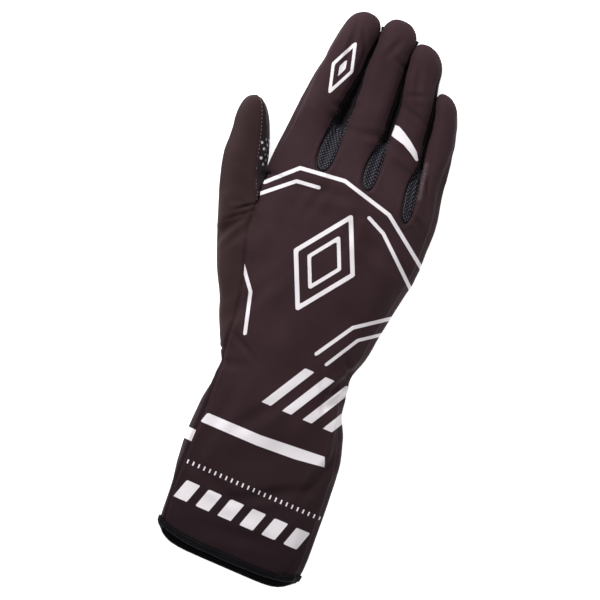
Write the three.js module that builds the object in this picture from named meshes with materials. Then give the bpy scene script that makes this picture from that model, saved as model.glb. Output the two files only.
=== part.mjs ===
import * as THREE from "three";

// Right-hand karting glove, lying palm down. Millimetres, +Z out of the back of the hand,
// +Y towards the fingertips, +X towards the little finger.

// Lengths along the glove
const PALM_LENGTH = 133.1; // wrist line to the line of the finger roots
const CUFF_LENGTH = 104; // wrist line to the lower lip of the cuff
const INDEX_LENGTH = 56.9;
const MIDDLE_LENGTH = 60.3;
const RING_LENGTH = 53.3;
const LITTLE_LENGTH = 39.2;
const LITTLE_ROOT_DROP = 5.9; // root of the little finger behind the line of the others
const THUMB_LENGTH = 35.6; // web to the tip of the thumb
const TONGUE_LENGTH = 28.9; // mesh tongues on the knuckles
const LITTLE_TONGUE_EXTRA = 8;
const WEB_EXTRA = 4.2; // web of the thumb behind the last tongue

// Widths across the glove
const INDEX_WIDTH = 20.4;
const MIDDLE_WIDTH = 18.6;
const RING_WIDTH = 18.5;
const LITTLE_WIDTH = 12.8;
const INDEX_MIDDLE_GAP = 7;
const MIDDLE_RING_GAP = 5.1;
const RING_LITTLE_GAP = 4.05;
const INDEX_MIDDLE_TONGUE = 9.2;
const MIDDLE_RING_TONGUE = 7.9;
const RING_LITTLE_TONGUE = 6.7;
const THUMB_WIDTH = 25;
const CUFF_WIDTH = 81.9;

// Heights above the floor
const HAND_HEIGHT = 26;
const FINGER_HEIGHT = 15.5;
const LITTLE_HEIGHT = 12.5;
const WRIST_LIFT = 1.6;
const FOLD_DEPTH = 2.4;

// Cloth, seams and binding
const WALL = 1.4;
const SEAM_GAP = 0.3;
const FINGER_CLEARANCE = 0.7; // least room between two fingers
const SIDE_ROLL = 2.4; // width of the rounded edge beside the outer seams
const SEAM_INSET = 1.2; // side seams of a finger behind its widest line
const BINDING_THICKNESS = 0.9;
const BINDING_WIDTH = 2.6;
const UNDER_LIP_BOW = 8.3; // lower lip beyond the corners of the mouth
const TOP_LIP_BOW = 3; // upper lip beyond the corners of the mouth

// Share of a finger at which the rounded tip begins, and its squareness
const CAP_START = 0.81;
const CAP_POWER = 2.3;
const DOME_POWER = 2.6;
const ARCH_POWER = 2.4;
const SIDE_CLOSE_START = 0.69;
const SIDE_CLOSE_END = 0.89;
const ROOT_BLEND = 0.05;
const WALL_LEAN = 0.28;
const TROUGH_FOLD = 0.6;
const MITRE_LIMIT = 1.6;
const RIM_LIMIT = 3;
const SOLE_EDGE = 0.18;
const ROUND = 0.5; // power of a dome that falls off roundly
const STRAIGHT = 1; // power of a dome with a fuller edge
const SIDE_INSET = 0.25; // share of the seam inset half way up a side
const PLAIN_TURN = 90; // turn and mark of a section without a free thumb, degrees
const PLAIN_MARK = 60;
const SOLE_OUTER = 0.3; // places of the two points under the thumb, shares of its width
const SOLE_INNER = 0.7;
const SOLE_DROP = 0.2; // share of a root's drop at the nearer point of the sole
const LEAST_LEAN = 0.2; // smallest cosine and pull that a mitre divides by
const LEAST_PULL = 0.01;
const WELD_DIGITS = 4; // points that agree to so many digits are one point

const ROOT_WIDTH =
  INDEX_WIDTH + MIDDLE_WIDTH + RING_WIDTH + LITTLE_WIDTH +
  INDEX_MIDDLE_GAP + MIDDLE_RING_GAP + RING_LITTLE_GAP;
const WEB_DEPTH = TONGUE_LENGTH + LITTLE_TONGUE_EXTRA + WEB_EXTRA;
const HEM_END = CUFF_LENGTH - SEAM_GAP - BINDING_THICKNESS;
const HEM_LIFT = SEAM_GAP + BINDING_THICKNESS;

const FINGERS = [
  { name: "index", width: INDEX_WIDTH, length: INDEX_LENGTH, height: FINGER_HEIGHT, lean: 0.03 },
  { name: "middle", width: MIDDLE_WIDTH, length: MIDDLE_LENGTH, height: FINGER_HEIGHT, lean: -0.02 },
  { name: "ring", width: RING_WIDTH, length: RING_LENGTH, height: FINGER_HEIGHT, lean: -0.11 },
  { name: "little", width: LITTLE_WIDTH, length: LITTLE_LENGTH, height: LITTLE_HEIGHT, lean: -0.1 },
];

const GAPS = [
  { name: "first", gap: INDEX_MIDDLE_GAP, tongue: INDEX_MIDDLE_TONGUE, end: 0.29 },
  { name: "second", gap: MIDDLE_RING_GAP, tongue: MIDDLE_RING_TONGUE, end: 0.573 },
  { name: "third", gap: RING_LITTLE_GAP, tongue: RING_LITTLE_TONGUE, end: 0.846 },
];

// Rows of a table as objects, from the names of its columns
function table(columns, rows) {
  return rows.map((row) => Object.fromEntries(columns.map((name, i) => [name, row[i]])));
}

// Plan of the fingers. along: share of the middle finger from the root line.
// shift: middle finger sideways, share of its width. Fingers: share of their own root width.
// first, second, third: how far each gap is still open, 1 at the root.
const PLAN_COLUMNS = [
  "along", "shift", "index", "middle", "ring",
  "little", "first", "second", "third",
];
const PLAN_ROWS = table(PLAN_COLUMNS, [
  [-0.1, 0, 1, 1, 1, 1, 1, 1, 1],
  [0, 0, 1, 1, 0.944, 1.045, 1, 1, 0.88],
  [0.14, -0.025, 0.977, 1.008, 0.901, 1.045, 0.88, 0.9, 0.88],
  [0.31, -0.053, 0.995, 1.008, 0.93, 1.037, 0.6, 0.79, 0.35],
  [0.48, -0.129, 1.028, 1.078, 0.986, 0.955, 0, 0.39, 0.05],
  [0.655, -0.137, 0.982, 1.064, 0.986, 0.935, 0, 0, 0],
  [0.83, -0.143, 0.913, 1.022, 0.944, 0.93, 0, 0, 0],
  [1, -0.146, 0.893, 1.008, 0.93, 0.93, 0, 0, 0],
]);

// Heights of a finger, shares of its height. along: share of its length.
const FINGER_ROWS = table(["along", "top", "upper", "side", "lower"], [
  [0, 1.16, 0.77, 0.42, 0.23],
  [0.05, 1.13, 0.74, 0.42, 0.23],
  [0.15, 1.07, 0.68, 0.41, 0.22],
  [0.33, 1, 0.62, 0.4, 0.22],
  [0.51, 1, 0.6, 0.4, 0.22],
  [0.69, 0.98, 0.58, 0.4, 0.22],
  [0.81, 0.93, 0.56, 0.4, 0.24],
  [1, 0.85, 0.56, 0.4, 0.24],
]);
const FINGER_STATIONS = [0.05, 0.15, 0.33, 0.51, 0.69, 0.81, 0.89, 0.944, 0.979, 0.995];

// Knuckles. down: share of the way from the root line to the web of the thumb.
// left, right: edges, shares of the root width. Heights: shares of the hand height.
// lobe: how far the back follows the finger arches. web: height left of the lower crotch.
const KNUCKLE_ROWS = table(["down", "left", "right", "top", "side", "low", "lobe", "web", "skew"], [
  [0, -0.5, 0.5, 0.73, 0.25, 0.135, 1, 1, 1],
  [0.063, -0.502, 0.503, 0.75, 0.25, 0.14, 0.92, 0.6, 0.93],
  [0.139, -0.505, 0.506, 0.78, 0.25, 0.14, 0.82, 0.3, 0.85],
  [0.266, -0.508, 0.514, 0.82, 0.255, 0.14, 0.62, 0.08, 0.7],
  [0.405, -0.512, 0.526, 0.87, 0.26, 0.15, 0.4, 0, 0.55],
  [0.557, -0.516, 0.541, 0.91, 0.265, 0.15, 0.2, 0, 0.38],
  [0.7025, -0.518, 0.551, 0.94, 0.27, 0.16, 0.08, 0, 0.22],
  [0.899, -0.52, 0.557, 0.96, 0.27, 0.19, 0, 0, 0],
  [1, -0.502, 0.5584, 0.97, 0.27, 0.27, 0, 0, 0],
]);
const TONGUE_STATIONS = [0.09, 0.2, 0.38, 0.58, 0.79, 0.94, 1];

// Mesh tongues. along: share from the end of the tongue to the crotch.
// full, root: parts of the tongue width and of the gap. depth: how deep the fold lies.
const TONGUE_ROWS = table(["along", "full", "root", "depth"], [
  [0, 0, 0, 0],
  [0.06, 0.6, 0, 0.01],
  [0.2, 0.9, 0, 0.03],
  [0.42, 1, 0, 0.05],
  [0.62, 0.9, 0.08, 0.09],
  [0.8, 0.5, 0.45, 0.18],
  [0.91, 0.22, 0.76, 0.42],
  [1, 0, 1, 1],
]);

// Hand below the web. down: share of the way from the web to the wrist line.
// seam, right, ball: left seam of the back, right edge and seam of the ball of the thumb,
// shares of the root width. thumb: thumb side outside the seam, share of the thumb width.
// top, side, lobe, web: heights, shares of the hand height. turn, mark: where the thumb
// ends and where its seam runs round its section, degrees. roll: how square the left edge is.
const THUMB_BALL_COLUMNS = [
  "down", "seam", "right", "ball", "thumb", "top", "side",
  "lobe", "web", "turn", "mark", "roll", "lift",
];
const THUMB_BALL_ROWS = table(THUMB_BALL_COLUMNS, [
  [0, -0.502, 0.5584, -0.502, 1, 0.97, 0.27, 0.65, 0.27, 180, 128, 0.5, 0],
  [0.051, -0.503, 0.56, -0.472, 0.95, 0.98, 0.29, 0.66, 0.13, 152, 131, 0.75, 0],
  [0.102, -0.498, 0.562, -0.442, 0.904, 0.99, 0.3, 0.66, 0.05, 138, 129, 0.85, 0],
  [0.153, -0.492, 0.564, -0.418, 0.863, 1, 0.31, 0.67, 0.015, 124, 124, 0.92, 0],
  [0.232, -0.485, 0.563, -0.381, 0.786, 1.01, 0.31, 0.68, 0, 112, 75, 1, 0],
  [0.311, -0.482, 0.549, -0.351, 0.688, 1.02, 0.32, 0.69, 0, 103, 69, 1, 0],
  [0.452, -0.436, 0.525, -0.321, 0.645, 1.02, 0.33, 0.71, 0, 92, 61, 1, 0],
  [0.593, -0.386, 0.504, -0.303, 0.588, 1.02, 0.34, 0.73, 0, 90, 60, 1, 0.1],
  [0.734, -0.351, 0.486, -0.294, 0.426, 1.01, 0.35, 0.73, 0, 90, 60, 1, 0.35],
  [0.876, -0.33, 0.448, -0.291, 0.281, 1, 0.36, 0.71, 0, 90, 60, 1, 0.8],
  [1, -0.315, 0.471, -0.285, 0.083, 0.98, 0.37, 0.66, 0, 90, 60, 1, 1],
]);
const SEAM_MEETING_ROW = 3; // where the thumb seam runs into the left seam of the back

// Cuff. down: share of the cuff from the wrist line. left, right, seam: shares of the cuff
// width. bow: how far the row follows the bowed mouth. rise: share of the hem lift.
const CUFF_COLUMNS = [
  "down", "left", "right", "seam", "top",
  "side", "lobe", "bow", "rise", "lift",
];
const CUFF_ROWS = table(CUFF_COLUMNS, [
  [0.065, -0.322, 0.511, -0.312, 0.96, 0.38, 0.64, 0, 0, 0.8],
  [0.14, -0.322, 0.557, -0.307, 0.94, 0.38, 0.64, 0, 0, 0.3],
  [0.29, -0.348, 0.622, -0.301, 0.92, 0.38, 0.66, 0, 0, 0],
  [0.44, -0.352, 0.648, -0.301, 0.9, 0.38, 0.68, 0, 0, 0],
  [0.59, -0.337, 0.661, -0.293, 0.885, 0.38, 0.66, 0.1, 0, 0],
  [0.76, -0.307, 0.673, -0.286, 0.865, 0.38, 0.64, 0.5, 0, 0],
  [0.93, -0.294, 0.68, -0.263, 0.85, 0.38, 0.63, 1, 1, 0],
  [1, -0.285, 0.672, -0.25, 0.85, 0.38, 0.62, 1, 1, 0],
]);

// Free part of the thumb. up: share of its length from the web. left, right: shares of its
// width from the web. swell: share of the full section height.
const THUMB_ROWS = table(["up", "left", "right", "swell"], [
  [0.117, -1.029, -0.069, 1],
  [0.248, -1.033, -0.119, 1],
  [0.423, -1.046, -0.208, 0.98],
  [0.599, -1.075, -0.312, 0.95],
  [0.73, -1.085, -0.401, 0.9],
  [0.832, -1.075, -0.489, 0.83],
  [0.92, -1.025, -0.593, 0.69],
  [0.971, -0.956, -0.696, 0.47],
]);
const THUMB_TIP = -0.821;
const THUMB_SIDE = 0.27;
const THUMB_TOP = 0.65;
const THUMB_SEAM_TURN = 128;
const THUMB_LOW_INSET = 0.05; // lower side of the thumb from its left edge, shares of its width
const THUMB_SIDE_INSET = 0.012;

// Creases and hollows of the back. x: share of the root width, y: share of the palm
// length from the wrist line, turn: direction in degrees, long, wide: shares of the root
// width, depth: share of the fold depth, less than 0 for a ridge.
const FOLDS = table(["x", "y", "turn", "long", "wide", "depth"], [
  [-0.565, 0.461, 60, 0.1, 0.07, 1],
  [-0.545, 0.54, -40, 0.12, 0.035, 0.5],
  [0.05, 0, 4, 0.55, 0.11, 0.55],
  [0.28, 0.62, 80, 0.22, 0.07, 0.35],
  [-0.05, 0.66, 95, 0.2, 0.07, 0.35],
  [0.2, -0.3, 35, 0.3, 0.08, 0.4],
  [0.42, 0.1, 60, 0.16, 0.06, -0.3],
]);

const ROOT_Y = PALM_LENGTH;
const WEB_Y = ROOT_Y - WEB_DEPTH;
const DEGREE = Math.PI / 180;

function mix(from, to, share) {
  return from + (to - from) * share;
}

function clamp(value, low, high) {
  return Math.min(Math.max(value, low), high);
}

// Value of one column of a table at a position between its rows
function lookup(rows, key, column, at) {
  if (at <= rows[0][key]) return rows[0][column];
  for (let i = 1; i < rows.length; i += 1) {
    if (at <= rows[i][key]) {
      const share = (at - rows[i - 1][key]) / (rows[i][key] - rows[i - 1][key]);
      return mix(rows[i - 1][column], rows[i][column], share);
    }
  }
  return rows[rows.length - 1][column];
}

// Sag of the cloth below its smooth shape at a place on the back
function foldDepth(x, y) {
  let sum = 0;
  for (const fold of FOLDS) {
    const dx = x - fold.x * ROOT_WIDTH;
    const dy = y - fold.y * PALM_LENGTH;
    const c = Math.cos(fold.turn * DEGREE);
    const s = Math.sin(fold.turn * DEGREE);
    const along = (dx * c + dy * s) / (fold.long * ROOT_WIDTH);
    const across = (dy * c - dx * s) / (fold.wide * ROOT_WIDTH);
    sum += fold.depth * FOLD_DEPTH * Math.exp(-along * along - across * across);
  }
  return sum;
}

function dome(u, power) {
  return (1 - Math.min(Math.abs(u), 1) ** DOME_POWER) ** power;
}

// Edges of the four fingers at a height along the glove, left to right
function fingerEdges(y) {
  const at = (y - ROOT_Y) / MIDDLE_LENGTH;
  const widths = FINGERS.map((f) => f.width * lookup(PLAN_ROWS, "along", f.name, at));
  const opens = GAPS.map((g) => lookup(PLAN_ROWS, "along", g.name, at));
  const gaps = GAPS.map((g, k) => mix(FINGER_CLEARANCE, Math.max(g.gap, FINGER_CLEARANCE), opens[k]));
  const rootMiddle = -ROOT_WIDTH / 2 + INDEX_WIDTH + INDEX_MIDDLE_GAP + MIDDLE_WIDTH / 2;
  const centre = rootMiddle + lookup(PLAN_ROWS, "along", "shift", at) * MIDDLE_WIDTH;
  const left = [0, centre - widths[1] / 2, 0, 0];
  left[0] = left[1] - gaps[0] - widths[0];
  left[2] = left[1] + widths[1] + gaps[1];
  left[3] = left[2] + widths[2] + gaps[2];
  return { left, right: left.map((x, i) => x + widths[i]), gaps, opens };
}

// Section of one finger at a share of its length, as eleven points:
// lower, middle and upper left, three on top, upper, middle and lower right, two below
function fingerSection(i, share) {
  const finger = FINGERS[i];
  const z = {};
  for (const column of ["top", "upper", "side", "lower"]) {
    z[column] = lookup(FINGER_ROWS, "along", column, share) * finger.height;
  }
  const open = 1 - clamp((share - SIDE_CLOSE_START) / (SIDE_CLOSE_END - SIDE_CLOSE_START), 0, 1);
  const upper = mix(z.side, z.upper, open);
  const lower = mix(z.side, z.lower, open);
  const tip = Math.max((share - CAP_START) / (1 - CAP_START), 0);
  const cap = Math.max(1 - tip ** CAP_POWER, 0) ** (1 / CAP_POWER);
  const apart = FINGER_CLEARANCE * Math.min(share / ROOT_BLEND, 1);

  const place = (across, height, inset) => {
    const leftDrop = i === 3 ? LITTLE_ROOT_DROP : 0;
    const rightDrop = i >= 2 ? LITTLE_ROOT_DROP : 0;
    const root = ROOT_Y - mix(leftDrop, rightDrop, clamp(across, 0, 1));
    const tipY = ROOT_Y - (i === 3 ? LITTLE_ROOT_DROP : 0) + finger.length;
    const y = mix(root, tipY, share);
    const plan = fingerEdges(y);
    const left = plan.left[i];
    const right = plan.right[i];
    const middle = (left + right) / 2;
    const flat = mix(left, right, across) + inset(plan);
    const x = middle + (flat - middle) * cap + finger.lean * finger.width * tip * tip;
    return { x, y, z: mix(z.side, height, cap) };
  };
  const none = () => 0;
  const outerLeft = i === 0;
  const outerRight = i === FINGERS.length - 1;
  const closed = (plan, k) => SEAM_INSET * open * (1 - plan.opens[k]);
  const left = {
    lower: outerLeft
      ? () => SEAM_INSET * open
      : (plan) => closed(plan, i - 1) - (plan.gaps[i - 1] - apart) / 2 * open,
    side: outerLeft ? none : (plan) => -plan.gaps[i - 1] * plan.opens[i - 1] * WALL_LEAN * open,
    upper: outerLeft ? () => SIDE_ROLL * open : (plan) => closed(plan, i - 1),
  };
  const right = {
    lower: outerRight
      ? () => -SEAM_INSET * open
      : (plan) => (plan.gaps[i] - apart) / 2 * open - closed(plan, i),
    side: outerRight ? none : (plan) => plan.gaps[i] * plan.opens[i] * WALL_LEAN * open,
    upper: outerRight ? () => -SIDE_ROLL * open : (plan) => -closed(plan, i),
  };
  const arch = (t) => {
    const height = upper + (z.top - upper) * (1 - Math.abs(2 * t - 1) ** ARCH_POWER) ** 0.5;
    const inset = (plan) => mix(left.upper(plan), right.upper(plan), t);
    return place(t, height, inset);
  };
  return [
    place(0, lower, left.lower),
    place(0, z.side, left.side),
    place(0, upper, left.upper),
    arch(0.25),
    arch(0.5),
    arch(0.75),
    place(1, upper, right.upper),
    place(1, z.side, right.side),
    place(1, lower, right.lower),
    place(1 - SOLE_EDGE, 0, none),
    place(SOLE_EDGE, 0, none),
  ];
}

// Section of the hand or cuff below the web of the thumb, 38 points clockwise from above:
// thumb side 0 to 5, back 6 to 21, right edge 22 and 23, underside 24 to 37
function lowerSection(row, width, y) {
  const seam = row.seam * width;
  const right = row.right * width;
  const outer = row.left === undefined ? seam - row.thumb * THUMB_WIDTH : row.left * width;
  const turn = (row.turn ?? PLAIN_TURN) * DEGREE;
  const mark = (row.mark ?? PLAIN_MARK) * DEGREE;
  const side = row.side * HAND_HEIGHT;
  const lobe = row.lobe * HAND_HEIGHT;
  const top = row.top * HAND_HEIGHT;
  const low = Math.min(row.side, KNUCKLE_ROWS[0].low) * HAND_HEIGHT;
  const floor = row.lift * WRIST_LIFT + (row.rise ?? 0) * HEM_LIFT;
  const bow = row.bow ?? 0;
  const reach = (seam - outer) / (1 - Math.cos(turn));
  const bend = (x, under) => {
    const u = clamp((2 * x - outer - right) / (right - outer), -1, 1);
    const lip = under ? 0 : (UNDER_LIP_BOW - TOP_LIP_BOW) * (1 - u * u);
    return y + bow * (UNDER_LIP_BOW * u * u + lip);
  };
  const seamHeight = side + (lobe - side) * Math.sin(turn);
  const onLobe = (angle) => {
    const x = outer + reach * (1 - Math.cos(angle));
    const z = side + (lobe - side) * Math.sin(angle);
    const lower = foldDepth(x, y) * Math.sin(angle);
    return { x, y: bend(x, false), z: z - lower };
  };
  const backEnd = right - SIDE_ROLL;
  const onBack = (x) => {
    const u = (2 * x - seam - right) / (right - seam);
    const base = mix(seamHeight, side, (u + 1) / 2);
    const power = u < 0 ? (row.roll ?? STRAIGHT) : ROUND;
    return { x, y: bend(x, false), z: base + (top - base) * dome(u, power) - foldDepth(x, y) };
  };
  const below = (x, z) => ({ x, y: bend(x, true), z: Math.max(z, 0) + floor });

  const points = [
    below(outer + SEAM_INSET, low),
    { x: outer + SEAM_INSET * SIDE_INSET, y: bend(outer, true), z: mix(low + floor, side, 0.5) },
    onLobe(0),
    onLobe(mark / 2),
    onLobe(mark),
  ];
  const joint = onLobe(turn);
  points.push(joint);
  const ends = [seam, ...GAPS.map((g) => mix(seam, backEnd, g.end)), backEnd];
  for (let i = 0; i < FINGERS.length; i += 1) {
    for (let k = 1; k <= 4; k += 1) points.push(onBack(mix(ends[i], ends[i + 1], k / 4)));
  }
  points.push({ x: right, y: bend(right, false), z: side });
  points.push(below(right - SEAM_INSET, low));
  const ball = (row.ball ?? row.seam + SOLE_EDGE / 4) * width;
  const sole = [ball, ...GAPS.map((g) => mix(ball, backEnd, g.end)), right];
  for (let i = FINGERS.length - 1; i >= 0; i -= 1) {
    const wide = sole[i + 1] - sole[i];
    points.push(below(sole[i + 1] - wide * SOLE_EDGE, 0));
    points.push(below(sole[i] + wide * SOLE_EDGE, 0));
    if (i > 0) points.push(below(sole[i], 0));
  }
  const web = (row.web ?? 0) * HAND_HEIGHT;
  points.push(row.ball === row.seam ? joint : below(ball, web));
  points.push(below(mix(outer, ball, SOLE_INNER), 0));
  points.push(below(mix(outer, ball, SOLE_OUTER), 0));
  return points;
}

// Section through the knuckles at a depth below the root line, 44 points clockwise:
// left edge 0 to 2, back and tongues 3 to 30, right edge 31 and 32, palm 33 to 43
function knuckleSection(depth) {
  const down = depth / WEB_DEPTH;
  const row = {};
  for (const column of ["left", "right", "top", "side", "low", "lobe", "web", "skew"]) {
    row[column] = lookup(KNUCKLE_ROWS, "down", column, down);
  }
  const y = ROOT_Y - depth;
  const outer = row.left * ROOT_WIDTH;
  const right = row.right * ROOT_WIDTH;
  const side = row.side * HAND_HEIGHT;
  const top = row.top * HAND_HEIGHT;
  const low = row.low * HAND_HEIGHT;
  const drop = row.skew * LITTLE_ROOT_DROP;
  const root = fingerEdges(ROOT_Y);
  const rootLow = fingerEdges(ROOT_Y - LITTLE_ROOT_DROP);
  const ends = [TONGUE_LENGTH, TONGUE_LENGTH, TONGUE_LENGTH + LITTLE_TONGUE_EXTRA];
  const backStart = outer + SIDE_ROLL;
  const backEnd = right - SIDE_ROLL;
  const tongues = GAPS.map((gap, k) => {
    const along = clamp(1 - depth / ends[k], 0, 1);
    const crotch = k === 2
      ? (rootLow.right[2] + rootLow.left[3]) / 2
      : (root.right[k] + root.left[k + 1]) / 2;
    const centre = mix(mix(outer, backEnd, gap.end), crotch, along);
    const full = lookup(TONGUE_ROWS, "along", "full", along) * gap.tongue;
    const wide = full + lookup(TONGUE_ROWS, "along", "root", along) * gap.gap;
    const deep = lookup(TONGUE_ROWS, "along", "depth", along);
    return { centre, left: centre - wide / 2, right: centre + wide / 2, deep, along };
  });
  const starts = [backStart, ...tongues.map((t) => t.right)];
  const stops = [...tongues.map((t) => t.left), backEnd];
  const height = (i, t) => {
    const x = mix(starts[i], stops[i], t);
    const u = (2 * x - outer - right) / (right - outer);
    const smooth = side + (top - side) * dome(u, ROUND) - foldDepth(x, y);
    const high = FINGER_ROWS[0].top * FINGERS[i].height;
    const seam = FINGER_ROWS[0].upper * FINGERS[i].height;
    const arch = seam + (high - seam) * (1 - Math.abs(2 * t - 1) ** ARCH_POWER) ** 0.5;
    return { x, y: y - drop * (i < 2 ? 0 : i === 2 ? t : 1), z: mix(smooth, arch, row.lobe) };
  };
  const points = [
    { x: outer + SEAM_INSET, y, z: low },
    { x: outer, y, z: side },
  ];
  for (let i = 0; i < FINGERS.length; i += 1) {
    const first = points.length === 2 ? 0 : 1;
    for (let k = first; k <= 4; k += 1) points.push(height(i, k / 4));
    if (i === FINGERS.length - 1) break;
    const from = height(i, 1);
    const to = height(i + 1, 0);
    const tongue = tongues[i];
    if (tongue.along === 0) {
      points.push(from, from, from, from);
      continue;
    }
    const bottom = {
      x: tongue.centre,
      y: (from.y + to.y) / 2,
      z: mix((from.z + to.z) / 2, FINGER_ROWS[0].lower * FINGERS[i].height, tongue.deep),
    };
    const wall = (edge) => ({
      x: mix(edge.x, bottom.x, 2 * WALL_LEAN),
      y: edge.y,
      z: mix(edge.z, bottom.z, TROUGH_FOLD),
    });
    points.push(wall(from), bottom, wall(to), to);
  }
  points.push({ x: right, y: y - drop, z: side });
  points.push({ x: right - SEAM_INSET, y: y - drop, z: low });
  const sole = [outer, ...tongues.map((t) => t.centre), right];
  for (let i = FINGERS.length - 1; i >= 0; i -= 1) {
    const wide = sole[i + 1] - sole[i];
    const rightDrop = i >= 2 ? drop : 0;
    const leftDrop = i === 3 ? drop : 0;
    const fall = (share) => y - mix(leftDrop, rightDrop, share);
    points.push({ x: sole[i + 1] - wide * SOLE_EDGE, y: fall(1 - SOLE_DROP), z: 0 });
    points.push({ x: sole[i] + wide * SOLE_EDGE, y: fall(SOLE_DROP), z: 0 });
    const crotch = FINGER_ROWS[0].lower * FINGERS[Math.max(i - 1, 0)].height;
    if (i > 0) points.push({ x: sole[i], y: y - leftDrop, z: row.web * crotch });
  }
  return points;
}

// Section at the finger roots, put together from the roots of the four fingers
function rootSection() {
  const sections = FINGERS.map((finger, i) => fingerSection(i, 0));
  const points = [sections[0][0], sections[0][1]];
  for (let i = 0; i < sections.length; i += 1) {
    points.push(...sections[i].slice(2, 7));
    if (i === sections.length - 1) break;
    points.push(sections[i][7], sections[i][8], sections[i + 1][1]);
  }
  const last = sections[sections.length - 1];
  points.push(last[7], last[8]);
  for (let i = sections.length - 1; i >= 0; i -= 1) {
    points.push(sections[i][9], sections[i][10]);
    if (i > 0) points.push(sections[i - 1][8]);
  }
  return points;
}

// Section of the free thumb, eight points in the order of the thumb side of the hand
function thumbSection(row) {
  const webX = THUMB_BALL_ROWS[0].seam * ROOT_WIDTH;
  const left = webX + row.left * THUMB_WIDTH;
  const right = webX + row.right * THUMB_WIDTH;
  const y = WEB_Y + row.up * THUMB_LENGTH;
  const side = THUMB_SIDE * HAND_HEIGHT;
  const rise = (THUMB_TOP - THUMB_SIDE) * HAND_HEIGHT * row.swell;
  const low = side * (1 - row.swell);
  const at = (angle) => ({
    x: mix(left, right, (1 - Math.cos(angle)) / 2),
    y,
    z: side + rise * Math.sin(angle),
  });
  const mark = THUMB_SEAM_TURN * DEGREE;
  const under = KNUCKLE_ROWS[0].low * HAND_HEIGHT;
  return [
    { x: mix(left, right, THUMB_LOW_INSET), y, z: mix(side, under, row.swell) },
    { x: mix(left, right, THUMB_SIDE_INSET), y, z: mix(side, under, row.swell / 2) },
    at(0),
    at(mark / 2),
    at(mark),
    at(Math.PI),
    { x: mix(left, right, SOLE_INNER), y, z: low },
    { x: mix(left, right, SOLE_OUTER), y, z: low },
  ];
}

// Welded outer skin: points shared by all panels, triangles with the name of their panel
const skin = { points: [], keys: new Map(), faces: [] };

function pointIndex(point) {
  const steps = 10 ** WELD_DIGITS;
  const digits = (v) => (Math.round(v * steps) / steps + 0).toFixed(WELD_DIGITS);
  const key = [point.x, point.y, point.z].map(digits).join(" ");
  if (!skin.keys.has(key)) {
    skin.keys.set(key, skin.points.length);
    skin.points.push(new THREE.Vector3(point.x, point.y, point.z));
  }
  return skin.keys.get(key);
}

function addFace(a, b, c, panel) {
  if (a === b || b === c || c === a) return;
  skin.faces.push({ corners: [a, c, b], panel });
}

// Faces between two sections; the second lies nearer to the fingertips
function addBand(lower, upper, panelOf) {
  const low = lower.map(pointIndex);
  const high = upper.map(pointIndex);
  for (let k = 0; k < low.length; k += 1) {
    const n = (k + 1) % low.length;
    const panel = panelOf(k);
    const points = skin.points;
    const falling = points[low[k]].distanceTo(points[high[n]]);
    const rising = points[low[n]].distanceTo(points[high[k]]);
    if (falling <= rising) {
      addFace(low[k], high[k], high[n], panel);
      addFace(low[k], high[n], low[n], panel);
    } else {
      addFace(low[k], high[k], low[n], panel);
      addFace(low[n], high[k], high[n], panel);
    }
  }
}

function addTip(section, tip, panelOf) {
  const ring = section.map(pointIndex);
  const top = pointIndex(tip);
  for (let k = 0; k < ring.length; k += 1) {
    addFace(ring[k], top, ring[(k + 1) % ring.length], panelOf(k));
  }
}

const FOURCHETTES = ["fourchette_index_middle", "fourchette_middle_ring", "fourchette_ring_little"];

function cuffPanel(k) {
  return k > 4 && k < 23 ? "back_panel" : "cuff_under";
}

function ballPanel(k, aboveMeeting) {
  if (k < 4) return "thumb_back";
  if (k === 4) return aboveMeeting ? "thumb_front" : "thumb_back";
  if (k < 23) return "back_panel";
  return k < 35 ? "palm_panel" : "thumb_front";
}

function knucklePanel(k) {
  if (k > 31) return "palm_panel";
  for (let i = 0; i < FOURCHETTES.length; i += 1) {
    if (k >= 6 + 8 * i && k < 10 + 8 * i) return FOURCHETTES[i];
  }
  return "back_panel";
}

function fingerPanel(i, k) {
  if (k < 2) return i === 0 ? "back_panel" : FOURCHETTES[i - 1];
  if (k < 6) return "back_panel";
  if (k < 8) return i === FINGERS.length - 1 ? "back_panel" : FOURCHETTES[i];
  return "palm_panel";
}

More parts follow.
